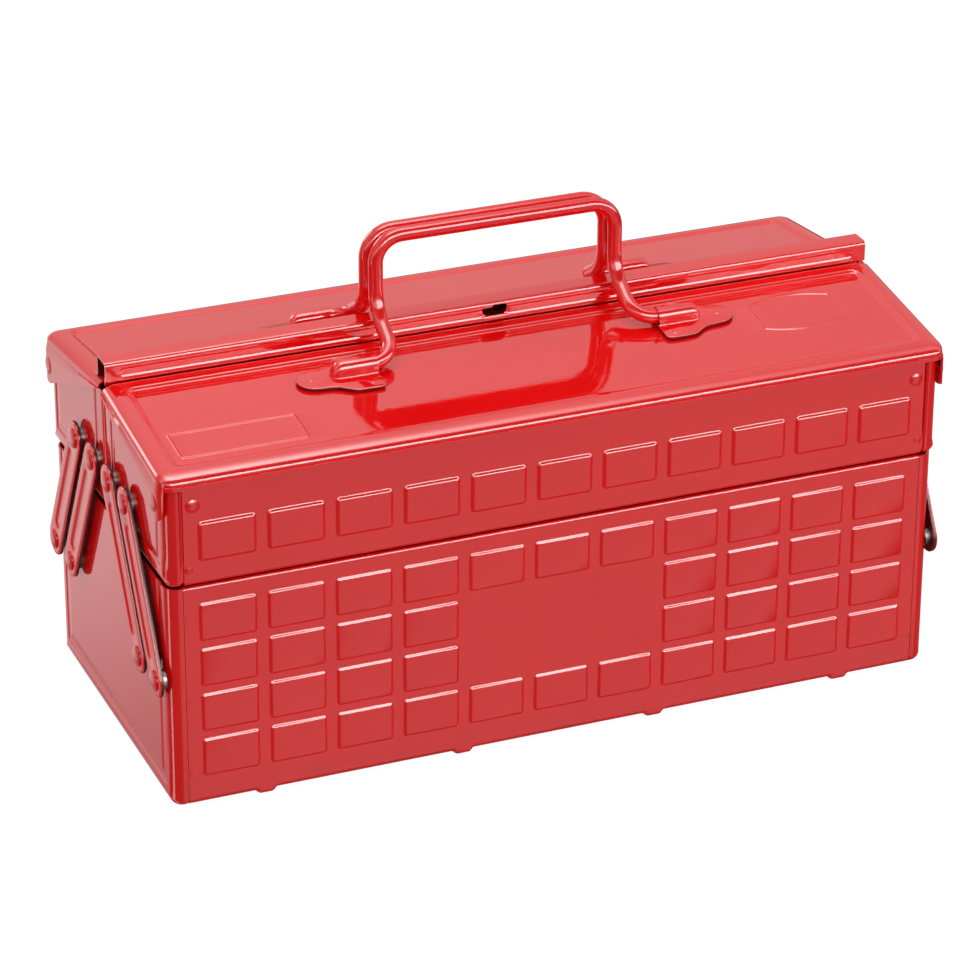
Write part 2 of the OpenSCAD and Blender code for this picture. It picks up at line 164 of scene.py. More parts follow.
def make(name, points, faces, finish, sharp=35.0):
    """A mesh object at the origin, points in millimetres."""
    mesh = bpy.data.meshes.new(name)
    mesh.from_pydata((np.asarray(points, float) * MM).tolist(), [], faces)
    mesh.materials.append(finish)
    mesh.update()
    shade(mesh, sharp)
    made = bpy.data.objects.new(name, mesh)
    bpy.context.scene.collection.objects.link(made)
    return made


def shade(mesh, sharp):
    mesh.shade_smooth()
    mesh.set_sharp_from_angle(angle=math.radians(sharp))


def settle(made, sharp=35.0):
    """Turns an object's modifiers into a plain mesh."""
    graph = bpy.context.evaluated_depsgraph_get()
    mesh = bpy.data.meshes.new_from_object(made.evaluated_get(graph))
    made.modifiers.clear()
    made.data = mesh
    shade(mesh, sharp)
    return made


def thicken(made, depth, inner_finish=0):
    """Gives a sheet its wall, inwards from the outer face."""
    wall = made.modifiers.new("wall", "SOLIDIFY")
    wall.material_offset = inner_finish
    wall.thickness = depth * MM
    wall.offset = -1.0
    wall.use_even_offset = False
    return settle(made)


def mirrored(points, faces, axis, wanted=True):
    """Points and faces for the other side, across x (0) or y (1)."""
    if not wanted:
        return points, faces
    points = np.array(points, float)
    points[:, axis] *= -1
    return points, flip(faces)


def place(made, body, slot, *nodes):
    """Gives a piece its body and hides the CAD nodes it stands for; the slot argument is not used."""
    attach(made, body)
    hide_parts(*nodes)
    return made


# ---------- finishes ----------


def finish_nodes(name):
    material = bpy.data.materials.new(name)
    material.use_nodes = True
    tree = material.node_tree
    shader = tree.nodes["Principled BSDF"]
    place_on = tree.nodes.new("ShaderNodeTexCoord").outputs["Object"]
    return material, tree, shader, place_on


def noise(tree, where, scale, detail=2.0, rough=0.5):
    node = tree.nodes.new("ShaderNodeTexNoise")
    node.inputs["Scale"].default_value = scale
    node.inputs["Detail"].default_value = detail
    node.inputs["Roughness"].default_value = rough
    tree.links.new(where, node.inputs["Vector"])
    return node.outputs["Fac"]


def span(tree, value, low, high, to_low, to_high):
    node = tree.nodes.new("ShaderNodeMapRange")
    for key, number in (("From Min", low), ("From Max", high), ("To Min", to_low), ("To Max", to_high)):
        node.inputs[key].default_value = number
    tree.links.new(value, node.inputs["Value"])
    return node.outputs["Result"]


def blend_colour(tree, factor, first, second):
    node = tree.nodes.new("ShaderNodeMix")
    node.data_type = "RGBA"
    tree.links.new(factor, node.inputs["Factor"])
    for key, colour in (("A", first), ("B", second)):
        slots = [s for s in node.inputs if s.name == key and s.type == "RGBA"]
        if isinstance(colour, tuple):
            slots[0].default_value = (*colour, 1.0)
        else:
            tree.links.new(colour, slots[0])
    return [s for s in node.outputs if s.type == "RGBA"][0]


def enamel(name, red, deep, gloss=(0.035, 0.07), peel=0.04, ior=1.62):
    """Gloss enamel: slight orange peel, slow changes of depth, faint handling marks in the gloss."""
    material, tree, shader, where = finish_nodes(name)
    depth = span(tree, noise(tree, where, 9.0, 3.0), 0.35, 0.7, 0.0, 1.0)
    tree.links.new(blend_colour(tree, depth, red, deep), shader.inputs["Base Color"])
    marks = span(tree, noise(tree, where, 55.0, 4.0, 0.6), 0.4, 0.75, *gloss)
    tree.links.new(marks, shader.inputs["Roughness"])
    shader.inputs["IOR"].default_value = ior
    bump = tree.nodes.new("ShaderNodeBump")
    bump.inputs["Strength"].default_value = peel
    bump.inputs["Distance"].default_value = 0.0004
    tree.links.new(noise(tree, where, 420.0, 1.0), bump.inputs["Height"])
    tree.links.new(bump.outputs["Normal"], shader.inputs["Normal"])
    return material


def plated(name):
    """Dull zinc plating with a fine turned grain; its colour is kept dark, partly as painted shade for the narrow gap
    between arm and end where the bushes sit.
    """
    material, tree, shader, where = finish_nodes(name)
    cloud = span(tree, noise(tree, where, 160.0, 4.0), 0.3, 0.7, 0.0, 1.0)
    tree.links.new(blend_colour(tree, cloud, (0.15, 0.13, 0.125), (0.25, 0.22, 0.21)), shader.inputs["Base Color"])
    tree.links.new(span(tree, noise(tree, where, 700.0, 2.0), 0.3, 0.7, 0.38, 0.52), shader.inputs["Roughness"])
    shader.inputs["Metallic"].default_value = 1.0
    bump = tree.nodes.new("ShaderNodeBump")
    bump.inputs["Strength"].default_value = 0.15
    bump.inputs["Distance"].default_value = 0.0002
    tree.links.new(noise(tree, where, 1500.0, 2.0), bump.inputs["Height"])
    tree.links.new(bump.outputs["Normal"], shader.inputs["Normal"])
    return material


RED = (0.80, 0.006, 0.006)
DEEP = (0.76, 0.004, 0.005)
sheet_red = enamel("sheet_enamel", RED, DEEP)
rod_red = enamel("rod_enamel", (0.80, 0.005, 0.006), (0.74, 0.003, 0.005), (0.04, 0.08), 0.03, 1.52)
arm_red = enamel("arm_enamel", (0.84, 0.006, 0.006), (0.78, 0.004, 0.005), (0.10, 0.18), 0.06, 1.56)
# painted shade: a near-black red finish for faces where shadow falls: the edges and backs of the arms, the edge walls
# of the bracket plates and the inside of the ridge channel
painted_shade_finish = enamel("painted_shade_enamel", (0.10, 0.003, 0.003), (0.05, 0.002, 0.002), (0.3, 0.5), 0.06, 1.4)
rivet_red = enamel("rivet_enamel", (0.74, 0.004, 0.006), (0.66, 0.002, 0.005), (0.07, 0.14), 0.04)
bush_grey = plated("zinc_plate")

# ---------- node trees ----------


class Expr:
    """A number in a node tree, so that the rule of a shape reads as a formula."""

    def __init__(self, tree, socket):
        self.tree, self.socket = tree, socket

    def calc(self, operation, *others):
        node = self.tree.nodes.new("ShaderNodeMath")
        node.operation = operation
        for entry, value in zip(node.inputs, (self, *others)):
            if isinstance(value, Expr):
                self.tree.links.new(value.socket, entry)
            else:
                entry.default_value = value
        return Expr(self.tree, node.outputs[0])

    def __add__(self, other):
        return self.calc("ADD", other)

    def __sub__(self, other):
        return self.calc("SUBTRACT", other)

    def __mul__(self, other):
        return self.calc("MULTIPLY", other)

    def __truediv__(self, other):
        return self.calc("DIVIDE", other)

    def at_least(self, other):
        return self.calc("MAXIMUM", other)

    def at_most(self, other):
        return self.calc("MINIMUM", other)

    def length(self):
        return self.calc("ABSOLUTE")

    def nearest(self):
        return self.calc("ROUND")

    def over(self, other):
        return self.calc("GREATER_THAN", other)

    def eased(self, width):
        node = self.tree.nodes.new("ShaderNodeMapRange")
        node.interpolation_type = "SMOOTHSTEP"
        self.tree.links.new(self.socket, node.inputs["Value"])
        self.tree.links.new(width.socket, node.inputs["From Max"])
        return Expr(self.tree, node.outputs["Result"])


class Shaping:
    """A Geometry Nodes tree with named sizes, that ends in Realize Instances and Set Material."""

    def __init__(self, name, **sizes):
        self.tree = bpy.data.node_groups.new(name, "GeometryNodeTree")
        face = self.tree.interface
        face.new_socket("Geometry", in_out="INPUT", socket_type="NodeSocketGeometry")
        for size, value in sizes.items():
            face.new_socket(size, in_out="INPUT", socket_type="NodeSocketFloat").default_value = value
        face.new_socket("Finish", in_out="INPUT", socket_type="NodeSocketMaterial")
        face.new_socket("Geometry", in_out="OUTPUT", socket_type="NodeSocketGeometry")
        self.start = self.tree.nodes.new("NodeGroupInput")
        self.end = self.tree.nodes.new("NodeGroupOutput")

    def add(self, kind, **settings):
        node = self.tree.nodes.new(kind)
        for key, value in settings.items():
            setattr(node, key, value)
        return node

    def link(self, source, target):
        self.tree.links.new(source.socket if isinstance(source, Expr) else source, target)

    def size(self, name):
        return Expr(self.tree, self.start.outputs[name])

    def stored(self, name, kind="FLOAT"):
        node = self.add("GeometryNodeInputNamedAttribute", data_type=kind)
        node.inputs["Name"].default_value = name
        return node.outputs["Attribute"]

    def place(self):
        split = self.add("ShaderNodeSeparateXYZ")
        self.link(self.add("GeometryNodeInputPosition").outputs[0], split.inputs[0])
        return [Expr(self.tree, split.outputs[k]) for k in range(3)]

    def close(self, geometry):
        real = self.add("GeometryNodeRealizeInstances")
        paint = self.add("GeometryNodeSetMaterial")
        self.link(geometry, real.inputs["Geometry"])
        self.link(real.outputs["Geometry"], paint.inputs["Geometry"])
        self.link(self.start.outputs["Finish"], paint.inputs["Material"])
        self.link(paint.outputs["Geometry"], self.end.inputs["Geometry"])

    def apply(self, made, finish, **sizes):
        entry = made.modifiers.new(self.tree.name, "NODES")
        entry.node_group = self.tree
        for item in self.tree.interface.items_tree:
            if item.in_out == "INPUT" and item.name in sizes:
                entry[item.identifier] = sizes[item.name]
            if item.in_out == "INPUT" and item.name == "Finish":
                entry[item.identifier] = finish
        settle(made)
        return made


def panel_press():
    """Raised panels on a regular grid: each point moves along its stored direction out by the
    height of the panel there; rows and columns in the middle can be left bare."""
    s = Shaping("pressed_panels", Pitch=0.038, Length=0.0327, Height=0.0234, RowPitch=0.027, FirstRow=0.11,
                Rows=4.0, SideColumns=5.0, BareColumns=1.5, Out=0.00115, Bevel=0.00125, Corner=0.0028)
    x, _, z = s.place()
    column = (x / s.size("Pitch")).nearest().at_most(s.size("SideColumns")).at_least(s.size("SideColumns") * -1.0)
    row = ((s.size("FirstRow") - z) / s.size("RowPitch")).nearest().at_least(0.0).at_most(s.size("Rows") - 1.0)
    dx = (x - column * s.size("Pitch")).length() - (s.size("Length") * 0.5 - s.size("Corner"))
    dz = (z - (s.size("FirstRow") - row * s.size("RowPitch"))).length() - (s.size("Height") * 0.5 - s.size("Corner"))
    reach = (dx.at_least(0.0).calc("POWER", 2.0) + dz.at_least(0.0).calc("POWER", 2.0)).calc("SQRT")
    depth = s.size("Corner") - reach - dx.at_least(dz).at_most(0.0)
    bare = s.size("BareColumns").over(column.length()) * row.over(0.5) * (s.size("Rows") - 1.5).over(row)
    rise = depth.eased(s.size("Bevel")) * s.size("Out") * (bare * -1.0 + 1.0) * Expr(s.tree, s.stored("wall"))
    move = s.add("ShaderNodeVectorMath", operation="SCALE")
    s.link(s.stored("out", "FLOAT_VECTOR"), move.inputs[0])
    s.link(rise, move.inputs["Scale"])
    shift = s.add("GeometryNodeSetPosition")
    s.link(s.start.outputs["Geometry"], shift.inputs["Geometry"])
    s.link(move.outputs[0], shift.inputs["Offset"])
    s.close(shift.outputs["Geometry"])
    return s


def turned_parts():
    """A round part, straight at the rim and domed on top, at each point, facing along its side."""
    s = Shaping("turned_parts", Radius=0.00575, Rim=0.0005, Dome=0.0011)
    drum = s.add("GeometryNodeMeshCylinder", fill_type="TRIANGLE_FAN")
    drum.inputs["Vertices"].default_value = 36
    drum.inputs["Side Segments"].default_value = 1
    drum.inputs["Fill Segments"].default_value = 9
    s.link(s.size("Radius"), drum.inputs["Radius"])
    s.link(s.size("Rim"), drum.inputs["Depth"])
    x, y, z = s.place()
    ratio = (x * x + y * y).calc("SQRT") / s.size("Radius")
    bulge = (ratio.calc("POWER", 2.4) * -1.0 + 1.0).at_least(0.0).calc("POWER", 0.6)
    lift = z.over(0.0) * bulge * s.size("Dome") + s.size("Rim") * 0.5
    up = s.add("ShaderNodeCombineXYZ")
    s.link(lift, up.inputs["Z"])
    shift = s.add("GeometryNodeSetPosition")
    s.link(drum.outputs["Mesh"], shift.inputs["Geometry"])
    s.link(up.outputs[0], shift.inputs["Offset"])
    turn = s.add("ShaderNodeCombineXYZ")
    s.link(Expr(s.tree, s.stored("side")) * (math.pi / 2), turn.inputs["Y"])
    spread = s.add("GeometryNodeInstanceOnPoints")
    s.link(s.start.outputs["Geometry"], spread.inputs["Points"])
    s.link(shift.outputs["Geometry"], spread.inputs["Instance"])
    s.link(turn.outputs[0], spread.inputs["Rotation"])
    s.close(spread.outputs["Instances"])
    return s


press = panel_press()
turned = turned_parts()


def with_attribute(made, name, kind, values):
    layer = made.data.attributes.new(name, kind, "POINT")
    field = "vector" if kind == "FLOAT_VECTOR" else "value"
    layer.data.foreach_set(field, np.asarray(values, np.float32).ravel())


def turned_set(name, places, finish, radius, rim, dome):
    """Rivet heads or bushes at (x, y, z) places, facing out along x."""
    made = make(name, np.array(places, float), [], finish)
    with_attribute(made, "side", "FLOAT", [math.copysign(1.0, p[0]) for p in places])
    return turned.apply(made, finish, Radius=radius * MM, Rim=rim * MM, Dome=dome * MM)


# ---------- bent sheets with panels: lower box and trays ----------


def arc(cy, cz, r, a0, a1, n):
    """Points and outward directions of an arc in the y, z plane, angles in degrees."""
    a = np.radians(np.linspace(a0, a1, n))
    return [(cy + r * math.cos(t), cz + r * math.sin(t), math.cos(t), math.sin(t)) for t in a]


def dome(x, z, cx, cz, r, h):
    """Height of a small round bump at (cx, cz)."""
    d = np.hypot(x - cx, z - cz) / r
    return h * np.clip(1 - d * d, 0, None) ** 1.25


def bent_sheet(name, xs, profile, finish, marks, **grid):
    """A sheet of one profile along x, with its inner face, panels pressed by the node tree and
    marks, a function of x, y and z, pressed in here. Profile rows are
    (y, z, out y, out z, whether panels show there, thickness)."""
    rows = np.array(profile, float)
    n = len(rows)
    outer = rows[:, :4]
    inner = outer.copy()
    inner[:, :2] -= rows[:, 2:4] * rows[:, 5:6]
    loop = np.vstack([outer, inner[::-1]])
    wall = np.concatenate([rows[:, 4], rows[::-1, 4]])
    x = np.repeat(xs, len(loop))
    y, z, oy, oz = (np.tile(loop[:, k], len(xs)) for k in range(4))
    rise = marks(x, y, z)
    points = np.column_stack([x, y + oy * rise, z + oz * rise])
    faces = grid_faces(len(xs), 2 * n, round_v=True)
    last = (len(xs) - 1) * 2 * n
    for j in range(n - 1):
        k = 2 * n - 1 - j
        faces.append([j, k, k - 1, j + 1])
        faces.append([last + j + 1, last + k - 1, last + k, last + j])
    if volume(points, faces) < 0:
        faces = flip(faces)
    made = make(name, points, faces, finish)
    with_attribute(made, "out", "FLOAT_VECTOR", np.column_stack([x * 0, oy, oz]))
    with_attribute(made, "wall", "FLOAT", np.tile(wall, len(xs)))
    return press.apply(made, finish, **grid)


panel_pitch, panel_l, panel_h, row_pitch = 38.0, 32.7, 23.4, 27.0
panel_columns = (np.arange(11) - 5) * panel_pitch
column_edges = [(c + s * panel_l / 2, -s) for c in panel_columns for s in (-1, 1)]
foot_pitch, foot_l = 113.6, 13.0
foot_places = (np.arange(4) - 1.5) * foot_pitch
foot_lines = [near(c + s * foot_l / 2, -s, (0.0, 0.9, 1.9, 3.4)) for c in foot_places for s in (-1, 1)]
weld_x = 211.4
weld_heights = (113.5, 65.0, 21.6)
weld_r = 2.7
over_weld = np.array([-2.6, -1.4, 0.0, 1.4, 2.6])


def base_marks(x, y, z):
    """Pressed feet under the bottom and spot welds beside the seams."""
    under = sum(ease(foot_l / 2 - np.abs(x - c), 0, 3.4) for c in foot_places)
    rise = under * floor_z * ease(floor_z + 3.6 - z, 0, 2.2)
    for s in (-1, 1):
        for height in weld_heights:
            rise = rise + np.where(z > 13, dome(x, z, s * weld_x, height, weld_r, 0.62), 0.0)
    return rise


def wall_rows(y, out, z_from, z_to, first_row, rows, height, steps, extra):
    """Rows of a panelled wall from z_from to z_to."""
    zs = [z_from, z_to, *extra]
    for r in range(rows):
        centre = first_row - r * row_pitch
        for s in (-1, 1):
            zs.extend(near(centre + s * height / 2, -s, steps))
    zs = lines(np.array(zs))
    zs = zs[(zs >= min(z_from, z_to)) & (zs <= max(z_from, z_to))]
    if z_to < z_from:
        zs = zs[::-1]
    return [(y, z, out, 0.0, 1.0, sheet) for z in zs]


first_row = box_top - 9.8 - panel_h / 2
weld_rows = np.concatenate([h + over_weld for h in weld_heights])


def hem(y, z, out, r=2.0):
    """Rounded and folded top edge of a wall, from the inside to the outer face."""
    return [(y + out * (r * math.cos(a) - r), z - r + r * math.sin(a), out * math.cos(a), math.sin(a), 0.0, 1.1)
            for a in np.radians(np.linspace(88, 2, 7))]


def base_profile():
    front = hem(-wall_y, box_top, -1)
    front += [(-wall_y, box_top - 3.0, -1.0, 0.0, 0.0, 2 * sheet), (-wall_y, box_top - 7, -1.0, 0.0, 0.0, 2 * sheet)]
    front += wall_rows(-wall_y, -1.0, box_top - 7.1, floor_z + bend_r, first_row, 4, panel_h, bevel_steps, weld_rows)
    front += [(*p, 0.0, sheet) for p in arc(-wall_y + bend_r, floor_z + bend_r, bend_r, 188, 268, 7)]
    half = lines(np.linspace(-wall_y + bend_r, 0, 6), near(-wall_y + 6, 1, (3.2, 4.2, 5.5, 7.0)))
    front += [(y, floor_z, 0.0, -1.0, 0.0, sheet) for y in half]
    back = [(-y, z, -oy, oz, w, t) for y, z, oy, oz, w, t in reversed(front[:-1])]
    return front + back


base_xs = lines(*[near(*edge, bevel_steps) for edge in column_edges], *foot_lines, [-seam_x, seam_x],
                *[s * weld_x + over_weld for s in (-1, 1)])
base_xs = base_xs[np.abs(base_xs) <= seam_x]
lower_wrap = bent_sheet("lower_wrap", base_xs, base_profile(), sheet_red, base_marks, FirstRow=first_row * MM,
                        Pitch=panel_pitch * MM, Length=panel_l * MM, Height=panel_h * MM, RowPitch=row_pitch * MM,
                        Rows=4.0, Out=panel_out * MM, Bevel=0.0019)
place(lower_wrap, "base", "red_enamel", "base_wrap")

tray_panel_h = panel_h + 0.4
tray_row = tray_z + 13.3 + tray_panel_h / 2
dimple_x, dimple_z, dimple_r = 208.6, tray_z + 46.3, 4.4
tray_weld_x, tray_weld_z, tray_weld_r = 211.3, tray_z + 9.6, 2.6
across_dimple, across_weld = np.linspace(-4.6, 4.6, 11), np.linspace(-2.6, 2.6, 6)


def tray_marks(x, y, z):
    """Stop dimples near the top corners and weld marks low beside the seams."""
    rise = np.zeros_like(x)
    for s in (-1, 1):
        rise = rise + dome(x, z, s * dimple_x, dimple_z, dimple_r, 1.3)
        rise = rise + dome(x, z, s * tray_weld_x, tray_weld_z, tray_weld_r, 0.8)
    return np.where(y < -tray_y + 3, rise, 0.0)


def tray_profile():
    rows = [(-tray_y, tray_top, -1.0, 0.0, 0.0, sheet)]
    rows += wall_rows(-tray_y, -1.0, tray_top - 0.6, tray_z + 3.2, tray_row, 1, tray_panel_h, fine_steps,
                      np.concatenate([dimple_z + across_dimple, tray_weld_z + across_weld]))
    rows += [(*p, 0.0, sheet) for p in arc(-tray_y + 3, tray_z + 3, 3, 190, 265, 6)]
    rows += [(y, tray_z, 0.0, -1.0, 0.0, sheet) for y in np.linspace(-tray_y + 3, -tray_in_y - 3, 6)]
    rows += [(*p, 0.0, sheet) for p in arc(-tray_in_y - 3, tray_z + 3, 3, -85, -10, 6)]
    rows += [(-tray_in_y, z, 1.0, 0.0, 0.0, sheet) for z in np.linspace(tray_z + 3.2, tray_top, 4)]
    return rows


tray_xs = lines(*[near(*edge) for edge in column_edges], [-tray_seam_x, tray_seam_x],
                *[s * dimple_x + across_dimple for s in (-1, 1)], *[s * tray_weld_x + across_weld for s in (-1, 1)])
tray_xs = tray_xs[np.abs(tray_xs) <= tray_seam_x]


def tray_wrap(side):
    back = side == "rear"
    made = bent_sheet(side + "_wall", tray_xs, tray_profile(), sheet_red, tray_marks, FirstRow=tray_row * MM,
                      Pitch=panel_pitch * MM, Length=panel_l * MM, Height=tray_panel_h * MM, Rows=1.0,
                      Out=panel_out * 1.2 * MM, Bevel=0.0023)
    if back:
        made.data.transform(Matrix.Scale(-1, 4, (0, 1, 0)))
        made.data.flip_normals()
    return place(made, side + "_tray", "red_enamel", side + "_tray_wrap")


# ---------- end pans ----------


def pan_outline(y0, y1, z0, r0, r1, top, inset, radii):
    """Open outline of an end pan, from the top at y0 down, along the bottom and up at y1, each
    point with the radius of its edge."""
    out = []
    a, b, c = y0 + inset, y1 - inset, z0 + inset
    ra, rb = max(r0 - inset, 0.7), max(r1 - inset, 0.7)
    for t in np.linspace(0, 1, 5)[:-1]:
        out.append((a, top(a) * (1 - t) + (c + ra) * t, radii[0]))
    for t in np.radians(np.linspace(180, 270, 9)):
        mix = (t - math.pi) / (math.pi / 2)
        out.append((a + ra + ra * math.cos(t), c + ra + ra * math.sin(t), radii[0] * (1 - mix) + radii[1] * mix))
    for t in np.linspace(0, 1, 7)[1:-1]:
        out.append((a + ra + (b - rb - a - ra) * t, c, radii[1]))
    for t in np.radians(np.linspace(270, 360, 9)):
        mix = (t - 1.5 * math.pi) / (math.pi / 2)
        out.append((b - rb + rb * math.cos(t), c + rb + rb * math.sin(t), radii[1] * (1 - mix) + radii[2] * mix))
    for t in np.linspace(0, 1, 5)[1:]:
        out.append((b, top(b) * t + (c + rb) * (1 - t), radii[2]))
    return out


def end_pan(x, seam, y0, y1, z0, bends, top, radii, frame_at):
    """Pressed end with a wide round edge, a joggled flange behind the wrap and a stepped frame."""

    def outline(inset):
        return pan_outline(y0, y1, z0, *bends, top, inset, radii)

    # flange behind the wrap: inset and distance in from the end
    flange = ((1.08, seam + 6.0), (1.08, seam - 0.75), (0.45, seam - 0.95), (0.0, seam - 1.15), (0.0, seam - 1.4))
    loops = [[(-x + back, y, z) for y, z, _ in outline(inset)] for inset, back in flange]
    for turn in np.radians(np.linspace(0, 90, 11)):
        loop = []
        for k, (_, _, r) in enumerate(outline(0.0)):
            y, z, _ = outline(r * (1 - math.cos(turn)))[k]
            loop.append((-x + r * (1 - math.sin(turn)), y, z))
        loops.append(loop)
    # frame: a shallow band between the two insets of frame_at
    a, b = frame_at
    deep = 0.55
    face = ((a - 1.2, 0.0), (a - 0.5, 0.0), (a, 0.12), (a + 0.5, 0.42), (a + 0.9, deep), (a + 1.4, deep),
            (b - 0.4, deep), (b, deep * 0.9), (b + 0.45, 0.5 * deep), (b + 0.9, 0.1), (b + 1.3, 0.0), (b + 3.0, 0.0))
    loops += [[(-x + depth, y, z) for y, z, _ in outline(inset)] for inset, depth in face]
    points = np.array(loops).reshape(-1, 3)
    n = len(loops[0])
    faces = grid_faces(len(loops), n)
    middle = list(range((len(loops) - 1) * n, len(loops) * n))
    across = np.cross(points[middle[1]] - points[middle[0]], points[middle[n // 2]] - points[middle[0]])
    if across[0] > 0:
        middle.reverse()
    a, b, c = (points[faces[n * 16][k]] for k in range(3))
    if np.cross(b - a, c - a)[0] > 0:
        faces = flip(faces)
    return points, faces + [middle]


def add_pans(body, nodes, names, shape, back=False):
    """The left and the right end of the lower box or of a tray, from the shape of the left one."""
    for node, name, right in zip(nodes, names, (False, True)):
        points, faces = shape
        points, faces = mirrored(points, faces, 1, back)
        points, faces = mirrored(points, faces, 0, right)
        made = thicken(make(name, points, faces, sheet_red), sheet)
        place(made, body, "red_enamel", node)


add_pans("base", ("base_end_left", "base_end_right"), ("lower_pan_left", "lower_pan_right"),
         end_pan(end_x, end_x - seam_x, -wall_y, wall_y, floor_z, (bend_r, bend_r), lambda y: box_top - 0.3,
                 (8.0, 6.5, 8.0), (11.0, 15.5)))


def gable(y):
    """Top edge of a tray's end."""
    rise = tray_top - 1.0 + (y + tray_y - 6.0) * slope
    return rise - 3.0 * ease(-y, tray_y - 6.0, tray_y)


tray_pan = end_pan(tray_x, tray_x - tray_seam_x, -tray_y, -tray_in_y, tray_z, (3.5, 3.5), gable,
                   (8.0, 5.0, 3.0), (10.0, 14.0))

# ---------- arms ----------


end_points = 15  # round each end of an arm
recess_end = 15.0  # from the pivot to the start of the recess


def arm_points(low, high):
    """One arm at the left end of the front, from its lower pivot to its upper one."""
    lean = low - high
    length = math.hypot(lean, arm_rise)
    along = np.array([lean, arm_rise]) / length
    across = np.array([along[1], -along[0]])
    face = arm_x + arm_t

    def capsule(start, end, r, depth):
        half_turn = np.radians(np.linspace(0, 180, end_points))
        loop = [(end + r * math.sin(t), r * math.cos(t), depth) for t in half_turn]
        return loop + [(start + r * math.sin(t), r * math.cos(t), depth) for t in half_turn + math.pi]

    half, deep = arm_w / 2, arm_t + 0.5
    loops = [capsule(0, length, half - 0.3, deep), capsule(0, length, half, deep - 0.35)]
    edge = ((0.0, 0.8), (0.12, 0.42), (0.42, 0.12), (0.85, 0.0), (2.0, 0.0))
    loops += [capsule(0, length, half - inset, depth) for inset, depth in edge]
    recess = ((4.5, 0.0), (4.2, 0.05), (3.8, 0.25), (3.3, 0.6), (2.9, 0.85), (2.4, 0.98), (0.6, 1.0))
    loops += [capsule(recess_end, length - recess_end, r, depth) for r, depth in recess]
    flat = np.array(loops).reshape(-1, 3)
    n = len(loops[0])
    points = np.column_stack([-face + flat[:, 2],
                              -low + flat[:, 0] * along[0] + flat[:, 1] * across[0],
                              pivot_z + flat[:, 0] * along[1] + flat[:, 1] * across[1]])
    faces = grid_faces(len(loops), n, round_v=True)
    faces.append(list(range(n))[::-1])
    faces.append(list(range((len(loops) - 1) * n, len(loops) * n)))
    if volume(points - points.mean(axis=0), faces) < 0:
        faces = flip(faces)
    return points, faces


def paint_shade_on(made, faces):
    """Painted shade: a second, dark finish on some faces, standing in for the shadow on them."""
    made.data.materials.append(painted_shade_finish)
    for k in faces:
        made.data.polygons[k].material_index = 1


def add_arms():
    for back, side in ((False, "front"), (True, "rear")):
        for k, pair in ((1, "outer"), (0, "inner")):
            shape = arm_points(low_pivots[k], high_pivots[k])
            for right, end in ((False, "left"), (True, "right")):
                points, faces = mirrored(*shape, 1, back)
                points, faces = mirrored(points, faces, 0, right)
                node = f"{side}_arm_{pair}_{end}"
                made = make(f"{side}_{pair}_link_{end}", points, faces, arm_red)
                # painted shade: the arm's side edges and back get the dark finish for the shadow in the gap beside the
                # end
                paint_shade_on(made, list(range(2 * 2 * end_points)) + [len(faces) - 2])
                place(made, node, "red_arm", node)


add_arms()

# ---------- pivots ----------
head_x = arm_x + arm_t + 0.1
head_rim, head_dome = 0.5, 1.1
bush_r = head_d / 2 - 0.3
pin_collar_r = 4.8


def pivots(ys, z, x, signs=(-1, 1)):
    """Places at both ends of the box; signs picks the front, the rear or both."""
    return [(s * x, t * y, z) for s in (-1, 1) for y in ys for t in signs]


def heads(name, places):
    return turned_set(name, places, rivet_red, head_d / 2, head_rim, head_dome)


place(heads("lower_rivet_heads", pivots(low_pivots, pivot_z, head_x)), "base", "red_rivet", "base_rivets")
place(turned_set("lower_bushes", pivots(low_pivots, pivot_z, end_x - 0.2), bush_grey, bush_r,
                 arm_x - end_x + 0.1, 0.0), "base", "grey_bush", "base_spacers")


def add_tray(side):
    back = side == "rear"
    sign = (1,) if back else (-1,)
    body = side + "_tray"
    up = pivot_z + arm_rise
    tray_wrap(side)
    add_pans(body, (side + "_tray_end_left", side + "_tray_end_right"), (side + "_pan_left", side + "_pan_right"),
             tray_pan, back)
    place(heads(side + "_rivet_heads", pivots(high_pivots, up, head_x, sign)), body, "red_rivet",
          side + "_tray_rivets")
    place(turned_set(side + "_bushes", pivots(high_pivots, up, tray_x - 0.2, sign), bush_grey, bush_r,
                     arm_x - tray_x + 0.1, 0.0), body, "grey_bush", side + "_tray_spacers")
    pin_y, pin_z = -lid_pivot[0], lid_pivot[1]
    place(heads(side + "_lid_pin_heads", pivots([pin_y], pin_z, lid_x + 0.1, sign)), body, "red_rivet",
          side + "_lid_rivets")
    collar = turned_set(side + "_lid_pin_collars", pivots([pin_y], pin_z, tray_x - 0.2, sign), rivet_red,
                        pin_collar_r, lid_x - tray_x - 1.0, 0.0)
    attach(collar, body)


for side in ("front", "rear"):
    add_tray(side)

# ---------- lids ----------
roll = (8.0, 9.2, 4.4)  # end, front and downward reach of the rolled edges
# low x, high x, low y and high y of the sunk field and of the pressed outlines
field = (-216.0, 216.0, -92.6, -11.0)
label_frame = (-208.0, -138.2, -82.8, -59.6)
barrel = (139.0, 188.2, -54.0, -30.0)
field_deep = 1.3


def bead(depth, width=1.5, height=0.5):
    """Raised line where the depth inside an outline is within half the width of zero."""
    t = np.clip(np.abs(depth) / (width / 2), 0, 1)
    return height * (1 - t * t) ** 2


def barrel_depth(x, y):
    """Depth inside an outline with straight ends and bowed long sides."""
    x0, x1, y0, y1 = barrel
    mid = (x - (x0 + x1) / 2) / ((x1 - x0) / 2)
    bow = 5.4 * np.clip(1 - mid * mid, -0.2, 1)
    return np.minimum(np.minimum(x - x0, x1 - x), np.minimum(y - (y0 - bow), (y1 + bow) - y) * 0.97)


